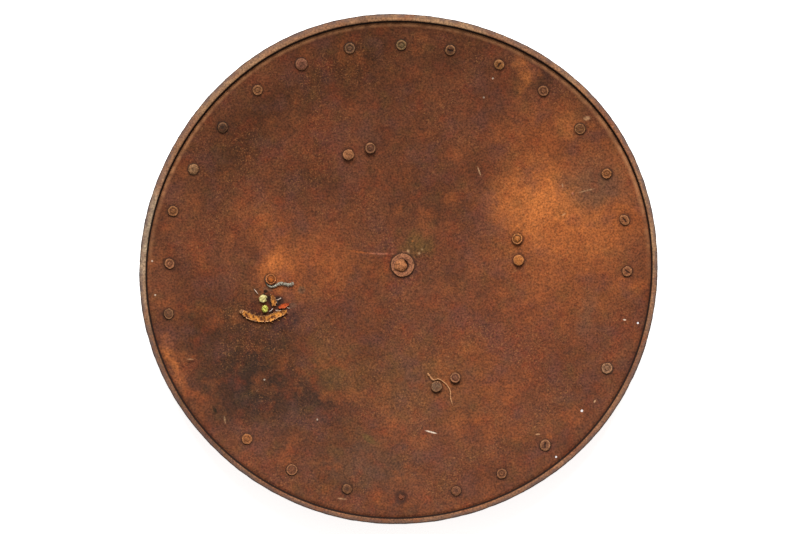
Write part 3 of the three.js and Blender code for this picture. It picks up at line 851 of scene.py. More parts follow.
def riveted_tree():
    """Sets a pattern rivet at each point, then makes each one ragged in its own way."""
    others = [("Patterns", "NodeSocketCollection"), ("Iron", "NodeSocketMaterial")]
    tree, given = new_tree("struck_rivets", ["Ragged size", "Ragged depth"], others)
    own = {}
    for title, kind in (("struck", "INT"), ("facing", "QUATERNION"), ("stretch", "FLOAT_VECTOR")):
        reader = add(tree, "GeometryNodeInputNamedAttribute", {"Name": title}, data_type=kind)
        own[title] = reader.outputs[0]
    patterns = {"Collection": given["Patterns"], "Separate Children": True}
    links = {
        "Points": given["Geometry"],
        "Instance": add(tree, "GeometryNodeCollectionInfo", patterns).outputs[0],
        "Pick Instance": True,
        "Instance Index": own["struck"],
        "Rotation": own["facing"],
        "Scale": own["stretch"],
    }
    set_out = add(tree, "GeometryNodeInstanceOnPoints", links).outputs[0]
    real = add(tree, "GeometryNodeRealizeInstances", {"Geometry": set_out}).outputs[0]
    place = add(tree, "GeometryNodeInputPosition").outputs[0]
    fine = add(tree, "ShaderNodeMath", {0: 1, 1: given["Ragged size"]}, operation="DIVIDE").outputs[0]
    stray = add(tree, "ShaderNodeTexNoise", {"Vector": place, "Scale": fine, "Detail": 1}).outputs[1]
    about = add(tree, "ShaderNodeVectorMath", {0: stray, 1: HALF}, operation="SUBTRACT").outputs[0]
    links = {0: about, 3: given["Ragged depth"]}
    offset = add(tree, "ShaderNodeVectorMath", links, operation="SCALE").outputs[0]
    shape = add(tree, "GeometryNodeSetPosition", {"Geometry": real, "Offset": offset}).outputs[0]
    shape = add(tree, "GeometryNodeSetMaterial", {"Geometry": shape, "Material": given["Iron"]}).outputs[0]
    add(tree, "NodeGroupOutput", {0: shape})
    return tree


# Patches and grain of the rivets' crust, in millimetres. The grain is drawn coarser than it is.
CRUST_PATCH, CRUST_GRAIN = 2.4, 1.1


def tinted_iron(name):
    """Iron that takes each rivet's own tone, lighter on worn lips, with painted shade, near black, in its
    hollows.
    """
    material, tree, solid = start_material(name)
    colour = add(tree, "ShaderNodeAttribute", attribute_name="tint").outputs["Color"]
    wear = add(tree, "ShaderNodeAttribute", attribute_name="wear").outputs["Fac"]
    links = {"Vector": solid, "Scale": 1 / CRUST_PATCH, "Detail": 3, "Roughness": 0.7}
    patch = add(tree, "ShaderNodeTexNoise", links).outputs["Fac"]
    links = {"Vector": solid, "Scale": 1 / CRUST_GRAIN, "Detail": 1}
    grain = add(tree, "ShaderNodeTexNoise", links).outputs["Fac"]
    # Darker crust in patches; lighter on worn lips; painted shade, near black, where wear is below 0.
    coats = (
        ({0: patch, 1: 0.4, 2: 0.62, 4: 0.6}, "#5A3019"),
        ({0: wear, 1: 0.2, 2: 1, 4: 0.45}, "#B07C52"),
        ({0: wear, 1: 0, 2: -1, 4: 0.85}, "#1E100A"),
    )
    for spread, tone in coats:
        share = add(tree, "ShaderNodeMapRange", spread).outputs[0]
        links = {FACTOR: share, FIRST: colour, SECOND: linear(tone)}
        colour = add(tree, "ShaderNodeMix", links, data_type="RGBA").outputs[MIXED]
    level = add(tree, "ShaderNodeMapRange", {0: grain, 1: 0.3, 2: 0.7, 3: 0.5, 4: 1.5}).outputs[0]
    links = {FACTOR: 1, FIRST: colour, SECOND: level}
    colour = add(tree, "ShaderNodeMix", links, data_type="RGBA", blend_type="MULTIPLY").outputs[MIXED]
    finish_material(tree, colour, 0.8, 0.22, patch, strength=0.8, depth=0.4)
    return material


# Forged iron rod, struck cold and rusted since. The eye reads small dull discs with worn lips.
rivet_iron = tinted_iron("rusted_forged_rivet_iron")


def set_rivets(name, patterns, looks, seats):
    """One mesh of rivets. looks is a list of (pattern, width, length, tone), seats a matrix for each."""
    shelf = bpy.data.collections.new(name + "_patterns")
    for pattern in patterns:
        bpy.context.scene.collection.objects.unlink(pattern)
        shelf.objects.link(pattern)
    mesh = bpy.data.meshes.new(name)
    mesh.from_pydata([seat.translation * MM for seat in seats], [], [])
    obj = bpy.data.objects.new(name, mesh)
    bpy.context.scene.collection.objects.link(obj)
    own = {
        ("struck", "INT", "value"): [look[0] for look in looks],
        ("facing", "QUATERNION", "value"): [seat.to_quaternion() for seat in seats],
        ("stretch", "FLOAT_VECTOR", "vector"): [(look[1], look[2], 1) for look in looks],
        ("tint", "FLOAT_COLOR", "color"): [linear(look[3]) for look in looks],
    }
    for (title, kind, field), values in own.items():
        attribute = mesh.attributes.new(title, kind, "POINT")
        for item, value in zip(attribute.data, values):
            setattr(item, field, value)
    sizes = {"Ragged size": RAGGED_SIZE, "Ragged depth": RAGGED_DEPTH}
    use_tree(obj, riveted_tree(), {**sizes, "Patterns": shelf, "Iron": rivet_iron})
    settle(obj, sharp=50)
    for pattern in patterns:
        bpy.data.objects.remove(pattern)
    bpy.data.collections.remove(shelf)
    return obj


def make_rim_rivets():
    patterns = [
        lathe("rim_pattern_%d" % kind, HEAD + FILLET * (kind != STUB) + outline, RIVET_SIDES)
        for kind, outline in STRUCK.items()
    ]
    cut_slot(patterns[SPLIT], half_width=0.7, reach=2.7, depth=0.7)
    looks, seats = [], []
    for node, (x, y) in RIM_PLACES.items():
        place = int(node.split("_")[2])
        looks.append(RIM_LOOKS[place])
        seats.append(on_face(x, y, SPLIT_TURNS.get(place, RIM_TURN * place)))
    return set_rivets("rim_rivets", patterns, looks, seats)


rim_rivets = make_rim_rivets()
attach(rim_rivets, "root")
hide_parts(*RIM_PLACES)

# ---- The strap rivets -----------------------------------------------------------------------
# Four pairs of longer iron rivets that held the ends of two crossed straps. The leather has
# rotted away, so each rove stands off the plate on its bare shank. One has broken off flush.

# Which way each was struck, its width, its length and its tone.
STRAP_LOOKS = {
    "strap_rivet_bottom_a": (1, 0.92, 0.92, "#6E442F"),
    "strap_rivet_bottom_b": (0, 0.98, 0.95, "#614733"),
    # The broken one lies in the shade of the knots: its dark tone is dark rust and painted shade both.
    "strap_rivet_left_a": (3, 1.0, 1.0, "#4A2A18"),
    "strap_rivet_left_b": (2, 0.95, 0.95, "#A8581E"),
    "strap_rivet_right_a": (2, 0.98, 0.95, "#A9662E"),
    "strap_rivet_right_b": (0, 0.95, 0.95, "#AC6830"),
    "strap_rivet_top_a": (0, 1.0, 0.95, "#94603C"),
    "strap_rivet_top_b": (1, 0.95, 0.95, "#5E3B27"),
}
STRAP_HEAD = [(0, -3.7, 0), (2.6, -3.5, 0), (4.2, -2.9, 0), (5.2, -2, 0), (5.4, -1.45, 0), (2.1, -1.4, 0)]
# The rove's underside and lower edge are marked for painted shade, near black, under the rove.
STRAP_ROVE = [(2.1, 2.5, -1), (4.7, 2.55, -1), (5, 2.8, -0.8), (4.95, 3.5, 0.2)]
# How the strap rivets were struck: flat, with a ring, domed in a deep ring, and broken off flush. Their
# grooves and the sunk broken end are marked for painted shade.
STRAP_FLAT = [(4.5, 3.95, 0.8), (3.6, 4.05, 0.2), (2.4, 4.1, 0), (1.2, 4.15, -0.2), (0, 4.15, 0)]
STRAP_RING = [
    (4.4, 4.1, 1),
    (3.7, 4.0, 0.6),
    (3, 3.6, -0.6),
    (2.4, 3.8, -0.3),
    (1.6, 4.3, 0.3),
    (0.8, 4.4, 0),
    (0, 4.3, -0.2),
]
STRAP_DOME = [
    (4.5, 4.1, 1),
    (3.9, 4.0, 0.8),
    (3.4, 3.5, -1),
    (3.0, 3.6, -0.9),
    (2.6, 4.5, 0.4),
    (1.8, 5.0, 0.2),
    (0, 5.2, 0.1),
]
STRAP_BROKEN = [(2.1, -0.4, -0.6), (1.1, -0.3, -0.6), (0, -0.35, -0.6)]
STRAP_STRUCK = [STRAP_ROVE + STRAP_FLAT, STRAP_ROVE + STRAP_RING, STRAP_ROVE + STRAP_DOME, STRAP_BROKEN]
STRAP_TURN = 61


def make_strap_rivets():
    patterns = [
        lathe("strap_pattern_%d" % kind, STRAP_HEAD + outline, RIVET_SIDES)
        for kind, outline in enumerate(STRAP_STRUCK)
    ]
    looks = [STRAP_LOOKS[node] for node in STRAP_PLACES]
    seats = [on_face(x, y, STRAP_TURN * i) for i, (x, y) in enumerate(STRAP_PLACES.values())]
    return set_rivets("strap_rivets", patterns, looks, seats)


strap_rivets = make_strap_rivets()
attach(strap_rivets, "root")
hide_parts(*STRAP_PLACES, *rivet_places("strap_rove_"))

# ---- The centre rivet and its rove ----------------------------------------------------------
# The boss of the shield is the broad low head of one thick rivet. The shield lies on its flat.
# Behind, the rivet is peened crookedly over a round rove that was filed from plate.

CENTRE_SIDES = 72
CENTRE_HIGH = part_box("centre_rivet")[1] / MM
ROVE_LOW, ROVE_HIGH = (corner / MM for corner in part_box("centre_rove"))


def knocked(obj, centre, top_from, lobes, depth, grain):
    """Pulls a turned piece out of true above top_from: lobes round it, and a rough surface."""
    for vertex in obj.data.vertices:
        x, y, z = vertex.co / MM
        if z > top_from:
            angle = math.atan2(y, x)
            pull = 1 + sum(share * math.cos(count * angle + turn) for count, share, turn in lobes)
            rough = depth * noise.noise(Vector((x, y, z)) / grain)
            vertex.co = Vector((x * pull, y * pull, z + rough)) * MM
    obj.data.transform(Matrix.Translation(Vector(centre) * MM))


def make_centre():
    head = CENTRE_HIGH.x - CENTRE_X
    peen_base = ROVE_HIGH.z + 0.05
    top = CENTRE_HIGH.z
    # Negative wear paints shade, near black: on the shank, under the peened end, and at the rove's foot, side
    # and bore.
    rivet = lathe(
        "centre_rivet_forged",
        [
            (0, 0, 0),
            (8, 0, 0),
            (13, 0, 0),
            (16, 0.9, 0),
            (18.5, 2.3, 0.3),
            (20.6, 4.2, 0.2),
            (head - 0.2, 6.2, 0.5),
            (head, 6.7, -0.6),
            (12, 6.75, -0.6),
            (4.8, 6.7, -0.8),
            (4.8, peen_base, -1),
            (5.2, peen_base, -1),
            (5.5, peen_base + 0.25, -1),
            (5.2, peen_base + 0.9, 0.0),
            (4.9, peen_base + 1.5, 0.5),
            (4.2, peen_base + 1.9, 0.3),
            (3.6, peen_base + 2.2, 0.1),
            (2.4, top - 0.2, -0.1),
            (1.2, top - 0.1, 0),
            (0, top - 0.1, 0),
        ],
        CENTRE_SIDES,
    )
    knocked(rivet, (CENTRE_X, CENTRE_Y, 0), peen_base - 0.1, [(5, 0.05, 0.4), (3, 0.05, 2.0)], 0.5, 1.7)
    rove_radius = (ROVE_HIGH.x - ROVE_LOW.x) / 2
    low, high = face_height(CENTRE_X, CENTRE_Y) + 0.02, ROVE_HIGH.z
    rove = lathe(
        "centre_rove_filed",
        [
            (5.1, low, -1),
            (rove_radius + 0.35, low, -1),
            (rove_radius + 0.25, low + 0.25, -1),
            (rove_radius - 0.25, low + 0.35, -1),
            (rove_radius - 0.3, high - 0.5, -0.7),
            (rove_radius - 0.6, high - 0.1, 0.8),
            (rove_radius - 1.2, high, 0.4),
            (9, high - 0.05, 0),
            (8, high, 0.1),
            (7, high - 0.1, -0.1),
            (6.2, high - 0.15, -0.3),
            (5.1, high - 0.1, -0.9),
            (5.1, low, -1),
        ],
        CENTRE_SIDES,
    )
    middle = (ROVE_LOW + ROVE_HIGH) / 2
    knocked(rove, (middle.x, middle.y, 0), low + 0.1, [(7, 0.012, 0.3), (4, 0.01, 1.0)], 0.22, 1.4)
    for obj, tone in ((rivet, "#A4683F"), (rove, "#966042")):
        count = len(obj.data.vertices)
        tint = obj.data.attributes.new("tint", "FLOAT_COLOR", "POINT")
        tint.data.foreach_set("color", linear(tone) * count)
        obj.data.materials.append(rivet_iron)
        settle(obj, sharp=50)
        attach(obj, "root")
    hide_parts("centre_rivet")
    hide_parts("centre_rove")


make_centre()

# ---- The grey cord and the flax fibre -------------------------------------------------------
# A frayed end of grey three-strand cord, once tied round a strap rivet, still comes out from
# under its rove. A single stiff flax fibre has caught against the rove of another rivet.


def smooth_path(points, steps):
    """A Catmull-Rom curve through the points, with steps pieces between each two."""
    spread = [points[0] * 2 - points[1]] + list(points) + [points[-1] * 2 - points[-2]]
    made = []
    for p, q, r, s in zip(spread, spread[1:], spread[2:], spread[3:]):
        for step in range(steps):
            t = step / steps
            bend = (r - p) * t + (p * 2 - q * 5 + r * 4 - s) * t**2 + (q * 3 - p - r * 3 + s) * t**3
            made.append(q + bend / 2)
    return made + [points[-1]]


def tube(path, radius_at, sides):
    """Points, faces and shares along of a closed tube round a path. radius_at takes the share."""
    points, faces, along = [], [], []
    across = (path[1] - path[0]).orthogonal().normalized()
    last = None
    for i, place in enumerate(path):
        ahead = (path[min(i + 1, len(path) - 1)] - path[max(i - 1, 0)]).normalized()
        across = (across - ahead * across.dot(ahead)).normalized()
        aside = ahead.cross(across)
        share = i / (len(path) - 1)
        ring = []
        for k in range(sides):
            angle = math.tau * k / sides
            ring.append(len(points))
            points.append(place + (across * math.cos(angle) + aside * math.sin(angle)) * radius_at(share))
            along.append(share)
        if last:
            faces += [(last[k], last[(k + 1) % sides], ring[(k + 1) % sides], ring[k]) for k in range(sides)]
        last = ring
    for ring, end in ((range(sides), path[0]), (last, path[-1])):
        pole = len(points)
        points.append(end)
        along.append(0 if pole == len(path) * sides else 1)
        faces += [(pole, ring[k], ring[(k + 1) % sides]) for k in range(sides)]
    return points, faces, along


def joined(name, parts, material):
    """One mesh of several (points, faces, along) parts, each one closed."""
    points, faces, along = [], [], []
    for some_points, some_faces, some_along in parts:
        faces += [tuple(len(points) + i for i in face) for face in some_faces]
        points += some_points
        along += some_along
    obj = mesh_object(name, points, faces)
    obj.data.attributes.new("along", "FLOAT", "POINT").data.foreach_set("value", along)
    obj.data.materials.append(material)
    return settle(obj, sharp=60)


def fibre_material(name, base, dark, light, spacing, roughness=0.9, soiled=0.0):
    """Dry plant fibre: matt and streaked, grimy in patches and for its soiled share. Spacing in mm."""
    material, tree, solid = start_material(name)
    links = {"Vector": solid, "Scale": 1 / (4 * spacing), "Detail": 4}
    patch = add(tree, "ShaderNodeTexNoise", links).outputs["Fac"]
    links = {"Vector": solid, "Scale": 1 / spacing, "Detail": 2, "Roughness": 0.7}
    streak = add(tree, "ShaderNodeTexNoise", links).outputs["Fac"]
    coats = [({0: patch, 1: 0.5, 2: 0.32, 4: 0.85}, dark), ({0: streak, 1: 0.5, 2: 0.68, 4: 0.8}, light)]
    if soiled:
        along = add(tree, "ShaderNodeAttribute", attribute_name="along").outputs["Fac"]
        coats.append(({0: along, 1: soiled, 2: 0.6 * soiled, 4: 0.9}, dark))
    colour = linear(base)
    for spread, tone in coats:
        share = add(tree, "ShaderNodeMapRange", spread).outputs[0]
        links = {FACTOR: share, FIRST: colour, SECOND: linear(tone)}
        colour = add(tree, "ShaderNodeMix", links, data_type="RGBA").outputs[MIXED]
    finish_material(tree, colour, roughness, 0.3, streak, strength=0.8, depth=0.2)
    return material


def path_on_face(route):
    """A route of (x, y, height above the wearer's face) as points in millimetres."""
    return [Vector((x, y, face_height(x, y) + lift)) for x, y, lift in route]


# Each route is as long as the real piece, which lies in sight from end to end.
GREY_CORD_ROUTE = [
    (-115.7, -5.9, 1.3),
    (-116.5, -7.6, 1.3),
    (-116.7, -9.6, 1.3),
    (-116.3, -11.7, 1.3),
    (-115.2, -13.8, 1.3),
    (-113.4, -15.2, 1.3),
    (-111.2, -15.8, 1.3),
    (-109, -15.4, 1.4),
    (-107, -14.3, 1.5),
    (-104.8, -13.2, 1.5),
    (-102.4, -12.9, 1.4),
    (-99.8, -13.4, 1.3),
    (-97.2, -14, 1.3),
    (-94.6, -13.7, 1.3),
    (-92.2, -12.9, 1.3),
]
STRANDS = 3
STRAND_RADIUS = 0.5
LAY_RADIUS = 0.5
LAY_LENGTH = 5.5
# The strands part and thin out towards the frayed end.
FRAY, THINNING = 0.9, 0.35
# Each filament starts a little further along than the one before it, as a share of the cord.
FILAMENTS, FILAMENT_RADIUS, FILAMENT_STEPS = 22, 0.16, 22
FILAMENTS_FROM, FILAMENT_SHIFT = 0.4, 0.026


def helix(path, radius, pitch, start, swell):
    """A strand that winds round the path. swell opens the lay out towards the far end."""
    made = []
    gone = 0
    across = (path[1] - path[0]).orthogonal().normalized()
    for i, place in enumerate(path):
        ahead = (path[min(i + 1, len(path) - 1)] - path[max(i - 1, 0)]).normalized()
        across = (across - ahead * across.dot(ahead)).normalized()
        gone += (place - path[max(i - 1, 0)]).length
        angle = start + math.tau * gone / pitch
        reach = radius * (1 + swell * (i / (len(path) - 1)) ** 3)
        made.append(place + (across * math.cos(angle) + ahead.cross(across) * math.sin(angle)) * reach)
    return made


# Grey hemp cord, laid from three strands. Dirt has dulled it to grey with pale worn crowns.
grey_hemp = fibre_material("laid_grey_hemp_cord", "#A39B88", "#33291F", "#E4DECC", 0.7, soiled=0.4)


def make_grey_cord():
    route = path_on_face(GREY_CORD_ROUTE)
    path = smooth_path(route, 6)
    parts = []
    for strand in range(STRANDS):
        line = helix(path, LAY_RADIUS, LAY_LENGTH, math.tau * strand / STRANDS, FRAY)
        parts.append(tube(line, lambda share: STRAND_RADIUS * (1 - THINNING * share**4), 8))
    # Loose filaments stray out of the lay, most of them near the frayed end.
    filaments = []
    for hair in range(FILAMENTS):
        first = int((FILAMENTS_FROM + FILAMENT_SHIFT * hair) * len(path))
        stretch = path[first : first + FILAMENT_STEPS]
        line = helix(stretch, 0.9 + 0.08 * (hair % 5), 6.5 + hair % 3, 2.1 * hair, 1.1)
        if len(line) > 5:
            filaments.append(tube(line, lambda share: FILAMENT_RADIUS * (1 - 0.6 * share), 5))
    fray = joined("grey_cord_fray", filaments, grey_hemp)
    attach(fray, "root")
    cord = joined("grey_cord_laid", parts, grey_hemp)
    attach(cord, "root")
    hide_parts("grey_cord")


make_grey_cord()

FIBRE_RADIUS = 0.5
FIBRE_ROUTE = [
    (25.2, -91.8, 1.1),
    (26.6, -93.4, 1),
    (28, -95.3, 0.9),
    (29.4, -97, 0.9),
    (31, -97.7, 1),
    (32.7, -97.1, 1.2),
    (34.6, -96.7, 1.3),
    (36.7, -97.5, 1.2),
    (38.6, -98.8, 1),
    (40.6, -100.4, 0.9),
    (42.6, -102.5, 0.9),
    (44.4, -105.2, 0.9),
    (45.4, -108.2, 0.9),
    (45.4, -111.3, 0.9),
    (45.7, -114.2, 0.9),
    (46.6, -117.1, 0.9),
    (47.2, -120.2, 0.9),
]
# The first stretch is a flat ribbon of bast that has not split yet.
RIBBON_SHARE = 0.2
RIBBON_RADIUS = 0.85

# Scutched flax: stiff, straw pink and a little glossy.
flax = fibre_material("scutched_flax_fibre", "#A9744A", "#8A5632", "#D2A070", 0.8, 0.7)


def make_fibre():
    route = path_on_face(FIBRE_ROUTE)
    path = smooth_path(route, 5)

    def thickness(share):
        ribbon = RIBBON_RADIUS - FIBRE_RADIUS
        fade = min(max((RIBBON_SHARE + 0.06 - share) / 0.1, 0), 1)
        tip = min(max((1 - share) / 0.04, 0.35), 1)
        return (FIBRE_RADIUS + ribbon * fade + 0.06 * math.sin(37 * share)) * tip

    # Two hairs have split from the ribbon.
    hairs = []
    for start, side in ((2, Vector((-2.2, -3.2, -0.1))), (18, Vector((-1.6, 1.5, 0.2)))):
        root = path[start]
        hair = [root, root + side * 0.5 + Vector((0.2, -0.2, 0.2)), root + side]
        hairs.append(tube(smooth_path(hair, 5), lambda share: 0.2 * (1 - 0.6 * share), 6))
    hairs = joined("flax_hairs_split", hairs, flax)
    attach(hairs, "root")
    fibre = joined("flax_fibre_bent", [tube(path, thickness, 9)], flax)
    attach(fibre, "root")
    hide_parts("flax_fibre")


make_fibre()

# ---- What is left of the strap --------------------------------------------------------------
# A torn strip of the strap's leather and two shreds of it lie by the left rivets, with two knots
# of straw binding. They are matted together with dirt, and lie loose in the hollow of the dish.


def shred(stations, thickness, seed, curl, ragged):
    """A torn strip along stations of (x, y, half width): crowned, curled up at its edges, ragged."""
    middle = smooth_path([Vector((x, y, 0)) for x, y, _ in stations], 8)
    widths = smooth_path([Vector((half, 0, 0)) for _, _, half in stations], 8)
    columns = 10
    points, faces, along = [], [], []
    rings = []
    for i, place in enumerate(middle):
        ahead = (middle[min(i + 1, len(middle) - 1)] - middle[max(i - 1, 0)]).normalized()
        aside = Vector((-ahead.y, ahead.x, 0))
        ring = []
        for face_up in (True, False):
            for k in range(columns + 1) if face_up else range(columns - 1, 0, -1):
                part = 2 * k / columns - 1
                torn = 1 + ragged * noise.noise(Vector((i * 0.45, math.copysign(9, part), seed)))
                spot = place + aside * (part * widths[i].x * torn)
                rise = thickness * (0.55 + curl * part * part)
                rise += 0.5 * noise.noise(Vector((spot.x * 0.7, spot.y * 0.7, seed)))
                depth = rise if face_up else rise - thickness * (0.62 - 0.45 * part * part)
                ring.append(len(points))
                points.append(spot + Vector((0, 0, max(depth, 0.05))))
                along.append(abs(part))
        rings.append(ring)
    count = len(rings[0])
    for a, b in zip(rings, rings[1:]):
        faces += [(a[k], a[(k + 1) % count], b[(k + 1) % count], b[k]) for k in range(count)]
    for ring in (rings[0], rings[-1]):
        centre = sum((points[i] for i in ring), Vector()) / count
        pole = len(points)
        points.append(centre)
        along.append(1)
        faces += [(pole, ring[k], ring[(k + 1) % count]) for k in range(count)]
    return points, faces, along


WISP_SIDES = 6


def wisp(start, end, radius, sag=0.0):
    """A thin loose fibre from start to end, in the frame of the remnant it lies on."""
    a, b = Vector(start), Vector(end)
    middle = (a + b) / 2 + Vector((0.3, -0.3, sag))
    line = smooth_path([a, middle, b], 6)
    return tube(line, lambda share: radius * (1 - 0.5 * abs(2 * share - 1) ** 3), WISP_SIDES)


def laid(parts, x, y, lift):
    """Parts moved from a remnant's own frame onto the plate at x, y."""
    here = on_face(x, y) @ Matrix.Translation((0, 0, lift))
    return [([here @ p for p in points], faces, along) for points, faces, along in parts]


# Worn patches of the leather and its fluffed fibre, in millimetres.
LEATHER_PATCH, LEATHER_FLUFF = 3.2, 0.8


def leather_material(name, grain_side, core, edge):
    """Vegetable-tanned leather, dried and torn: orange grain side, pale fluffed edges."""
    material, tree, solid = start_material(name)
    torn = add(tree, "ShaderNodeAttribute", attribute_name="along").outputs["Fac"]
    links = {"Vector": solid, "Scale": 1 / LEATHER_PATCH, "Detail": 4, "Roughness": 0.65}
    patch = add(tree, "ShaderNodeTexNoise", links).outputs["Fac"]
    links = {"Vector": solid, "Scale": 1 / LEATHER_FLUFF, "Detail": 2}
    fluff = add(tree, "ShaderNodeTexNoise", links).outputs["Fac"]
    rim = add(tree, "ShaderNodeMath", {0: torn, 1: fluff}, operation="MULTIPLY").outputs[0]
    coats = (
        ({0: patch, 1: 0.42, 2: 0.62}, grain_side),
        ({0: rim, 1: 0.42, 2: 0.58, 4: 0.85}, edge),
    )
    colour = linear(core)
    for spread, tone in coats:
        share = add(tree, "ShaderNodeMapRange", spread).outputs[0]
        links = {FACTOR: share, FIRST: colour, SECOND: linear(tone)}
        colour = add(tree, "ShaderNodeMix", links, data_type="RGBA").outputs[MIXED]
    finish_material(tree, colour, 0.85, 0.3, fluff, strength=0.9, depth=0.4)
    return material


# Torn strap leather. The eye reads orange-tan fibre with pinkish fluffed edges.
torn_leather = leather_material("torn_vegetable_tanned_leather", "#CF8636", "#52260C", "#E8B07A")
red_leather = leather_material("torn_red_stained_leather", "#C4521B", "#8A3413", "#C98A5E")
# Straw binding, twisted and dried, straw yellow with dark green-brown patches.
straw = fibre_material("twisted_straw_binding", "#C8BA76", "#3C3214", "#EEE3AE", 1.4)
green_straw = fibre_material("stained_straw_binding", "#A9A53C", "#1C1608", "#EDE88C", 1.0)
# Splinters of straw that have bleached. The eye reads thin, pinkish white lines.
bleached = fibre_material("bleached_straw_splinter", "#B79E8C", "#6E5A4C", "#EAD8C8", 0.8)
# Torn fibres stand off both edges of the strip, one for each step along it.
STRIP_FIBRES, FIRST_FIBRE, FIBRE_STEP = 12, -17, 3.1
STRIP = [
    (-19.4, 5.6, 1.6),
    (-15.8, 2.4, 2.5),
    (-8.7, -0.4, 2.6),
    (-1.6, -1, 2.7),
    (4.4, -0.5, 2.7),
    (9, 1.8, 2.9),
    (15, 4, 2.4),
    (20, 5.6, 1.4),
]
UPRIGHT_SHRED = [(0, -4.4, 1.6), (-0.6, 0, 2.4), (-1.6, 4.8, 1.2)]
SLANTING_SHRED = [(-4.4, -1.4, 1.2), (0, 0, 2), (4.6, 1.6, 1.1)]
WINDING_STEPS = 22
LUMP_RINGS, LUMP_SIDES = 10, 18


def winding(width, length, height, turns, strand, tilt, seed):
    """A knot: one strand wound round and round a flattened ball."""
    line = []
    for step in range(turns * WINDING_STEPS):
        share = step / (turns * WINDING_STEPS - 1)
        angle = math.tau * step / WINDING_STEPS
        lean = math.radians(tilt) * math.sin(math.tau * share * 1.3 + seed)
        ball = Vector((math.cos(angle), math.sin(angle) * math.cos(lean), math.sin(angle) * math.sin(lean)))
        ball = Matrix.Rotation(math.pi * share * 1.7 + seed, 3, "Z") @ Matrix.Rotation(lean, 3, "X") @ ball
        shrink = 0.55 + 0.45 * abs(math.cos(math.pi * share))
        line.append(
            Vector(
                (
                    ball.x * (width / 2 - strand) * shrink,
                    ball.y * (length / 2 - strand) * shrink,
                    height / 2 + ball.z * (height / 2 - strand) + 0.5 * math.sin(3 * angle + seed),
                )
            )
        )
    return tube(line, lambda share: strand * (1 + 0.15 * math.sin(40 * share)), 8)


def lump(width, length, height, seed):
    """The dense middle of a knot."""
    turns = [math.pi * i / LUMP_RINGS for i in range(LUMP_RINGS + 1)]
    # The sine is rounded so that both poles lie on the axis, where the lathe closes them.
    outline = [(round(math.sin(a), 9), -math.cos(a), 0) for a in turns]
    ball = lathe("lump", outline, LUMP_SIDES)
    points = []
    for vertex in ball.data.vertices:
        p = Vector(vertex.co) / MM
        swell = 1 + 0.25 * noise.noise(p * 1.6 + Vector((seed, 0, 0)))
        swollen = Vector((p.x * width / 2, p.y * length / 2, p.z * height / 2)) * swell
        points.append(swollen + Vector((0, 0, height / 2)))
    faces = [tuple(f.vertices) for f in ball.data.polygons]
    bpy.data.objects.remove(ball)
    return points, faces, [0] * len(points)


def make_remnants():
    strip = [shred(STRIP, 2.2, 3.1, 0.3, 0.35)]
    for i in range(STRIP_FIBRES):
        x = FIRST_FIBRE + FIBRE_STEP * i
        side = -1 if i % 2 else 1
        y = x * x / 75 - 1.2 + side * 2.2
        strip.append(wisp((x, y, 0.9), (x + 2.6, y + side * (0.8 + 0.3 * (i % 3)), 1.5), 0.17, 0.3))
    # A fluffed tuft at the strip's left end.
    tuft, faces, along = lump(4.6, 3.8, 2.6, 4.0)
    strip.append(([p + Vector((-20.0, 5.1, 0.1)) for p in tuft], faces, [0.9] * len(along)))
    upright = [shred(UPRIGHT_SHRED, 2.8, 7.7, 0.3, 0.5), wisp((-1.5, 3, 1.8), (-3.4, 6, 1), 0.2)]
    slanting = [shred(SLANTING_SHRED, 2.6, 1.9, 0.25, 0.5), wisp((3, 1.4, 1.8), (6, 3.6, 1), 0.2)]
    upper = [lump(6.6, 6.2, 3.4, 0.0), winding(8, 7.4, 4.2, 4, 0.75, 50, 0.4)]
    lower = [lump(4.4, 5.8, 2.8, 2.0), winding(6, 7.4, 3.6, 4, 0.65, 60, 2.2)]

    # Each remnant's name, parts, place and lift, material, CAD node and slot.
    remnants = (
        ("strap_strip_torn", strip, (-118, -43, 0.9), torn_leather, "strap_leather_strip", "old_leather"),
        (
            "strap_shred_upright",
            upright,
            (-109.6, -28.4, 0.6),
            torn_leather,
            "strap_leather_shred_a",
            "old_leather",
        ),
        (
            "strap_shred_slanting",
            slanting,
            (-101.2, -32.6, 0.6),
            red_leather,
            "strap_leather_shred_b",
            "old_leather",
        ),
        ("straw_knot_upper_wound", upper, (-119.3, -26.4, 0.6), straw, "straw_knot_upper", "straw_cord"),
        (
            "straw_knot_lower_wound",
            lower,
            (-117.6, -35.2, 0.6),
            green_straw,
            "straw_knot_lower",
            "straw_cord",
        ),
    )
    for name, parts, seat, material, node, slot in remnants:
        remnant = joined(name, laid(parts, *seat), material)
        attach(remnant, "root")
        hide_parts(node)

    # Loose splinters and wisps that are caught between the pieces.
    splinters = [
        (wisp((-1.8, 2.3, 0.5), (1.8, -2.3, 0.6), 0.42, 0.2), -125.3, -20.0),
        (wisp((-1.7, -1.6, 0.8), (1.8, 1.5, 1.4), 0.45, 0.3), -112.3, -36.3),
        (wisp((-3.2, 0.3, 0.7), (3.4, -0.3, 0.8), 0.4, 0.2), -105.0, -36.6),
        (wisp((-2.2, 1.1, 0.7), (2.4, -0.5, 0.8), 0.3, 0.2), -106.0, -37.6),
        (wisp((-1.9, -0.9, 0.6), (2.0, 1.1, 1.2), 0.45, 0.3), -105.4, -26.7),
        (wisp((-1.2, 0.4, 0.6), (1.4, -0.3, 0.7), 0.35, 0.1), -96.9, -34.4),
    ]
    parts = []
    for part, x, y in splinters:
        parts += laid([part], x, y, 0.3)
    loose = joined("loose_wisps", parts, bleached)
    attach(loose, "root")


make_remnants()

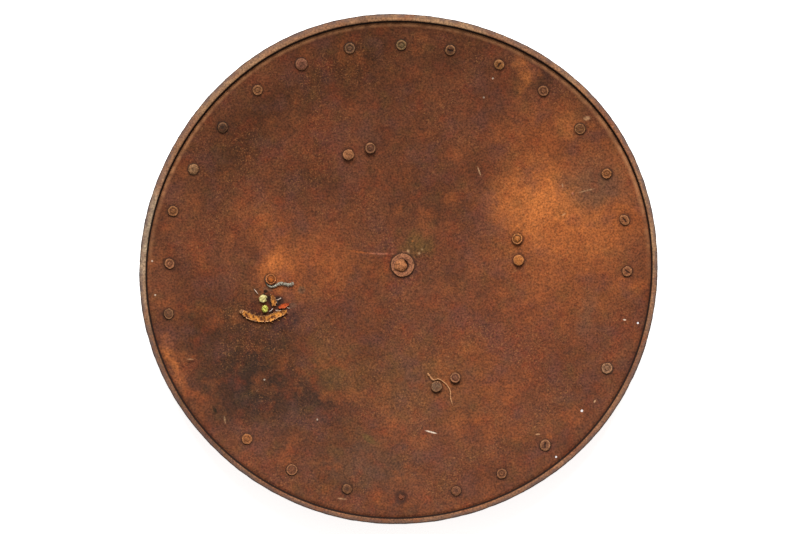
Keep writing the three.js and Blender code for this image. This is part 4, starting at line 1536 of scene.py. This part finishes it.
# ---- The floor, the light and the camera ----------------------------------------------------
# A white table that glows a little, under one broad soft light and an even sky. The camera looks
# straight down, from far enough off that the rim hardly spreads.

FLOOR_SIZE = 6
TABLE_GLOW = 0.7
SKY_STRENGTH = 0.45
SOFTBOX_STRENGTH, SOFTBOX_SPREAD, SOFTBOX_TILT = 3.9, math.radians(35), math.radians(-42)
CAMERA_OVER = Vector((1.14 * MM, 1.49 * MM, 41 * MM))
CAMERA_DISTANCE = 6
VIEW_WIDTH = 0.6989
SENSOR = 36
NEAREST, FURTHEST = 0.1, 50


def make_studio():
    bpy.ops.mesh.primitive_plane_add(size=FLOOR_SIZE, location=(0, 0, 0))
    floor = bpy.context.object
    floor.name = "floor"
    material = bpy.data.materials.new("white_light_table")
    material.use_nodes = True
    tree = material.node_tree
    tree.nodes.clear()
    glow = {"Emission Color": linear("#FFFFFF"), "Emission Strength": TABLE_GLOW}
    links = {"Base Color": linear("#F2F1EE"), "Roughness": 0.9, **glow}
    shader = add(tree, "ShaderNodeBsdfPrincipled", links)
    add(tree, "ShaderNodeOutputMaterial", {"Surface": shader.outputs[0]})
    floor.data.materials.append(material)

    world = bpy.data.worlds.new("studio")
    bpy.context.scene.world = world
    world.use_nodes = True
    sky = world.node_tree.nodes["Background"].inputs
    sky["Color"].default_value = linear("#FFFFFF")
    sky["Strength"].default_value = SKY_STRENGTH

    light = bpy.data.lights.new("softbox", "SUN")
    light.energy = SOFTBOX_STRENGTH
    light.angle = SOFTBOX_SPREAD
    key = bpy.data.objects.new("softbox", light)
    key.rotation_euler = (SOFTBOX_TILT, 0, 0)
    bpy.context.scene.collection.objects.link(key)

    lens = bpy.data.cameras.new("camera")
    lens.sensor_width = SENSOR
    lens.lens = SENSOR * CAMERA_DISTANCE / VIEW_WIDTH
    lens.clip_start = NEAREST
    lens.clip_end = FURTHEST
    camera = bpy.data.objects.new("camera", lens)
    camera.location = CAMERA_OVER + Vector((0, 0, CAMERA_DISTANCE))
    bpy.context.scene.collection.objects.link(camera)
    bpy.context.scene.camera = camera
    bpy.context.scene.view_settings.view_transform = "Standard"


make_studio()
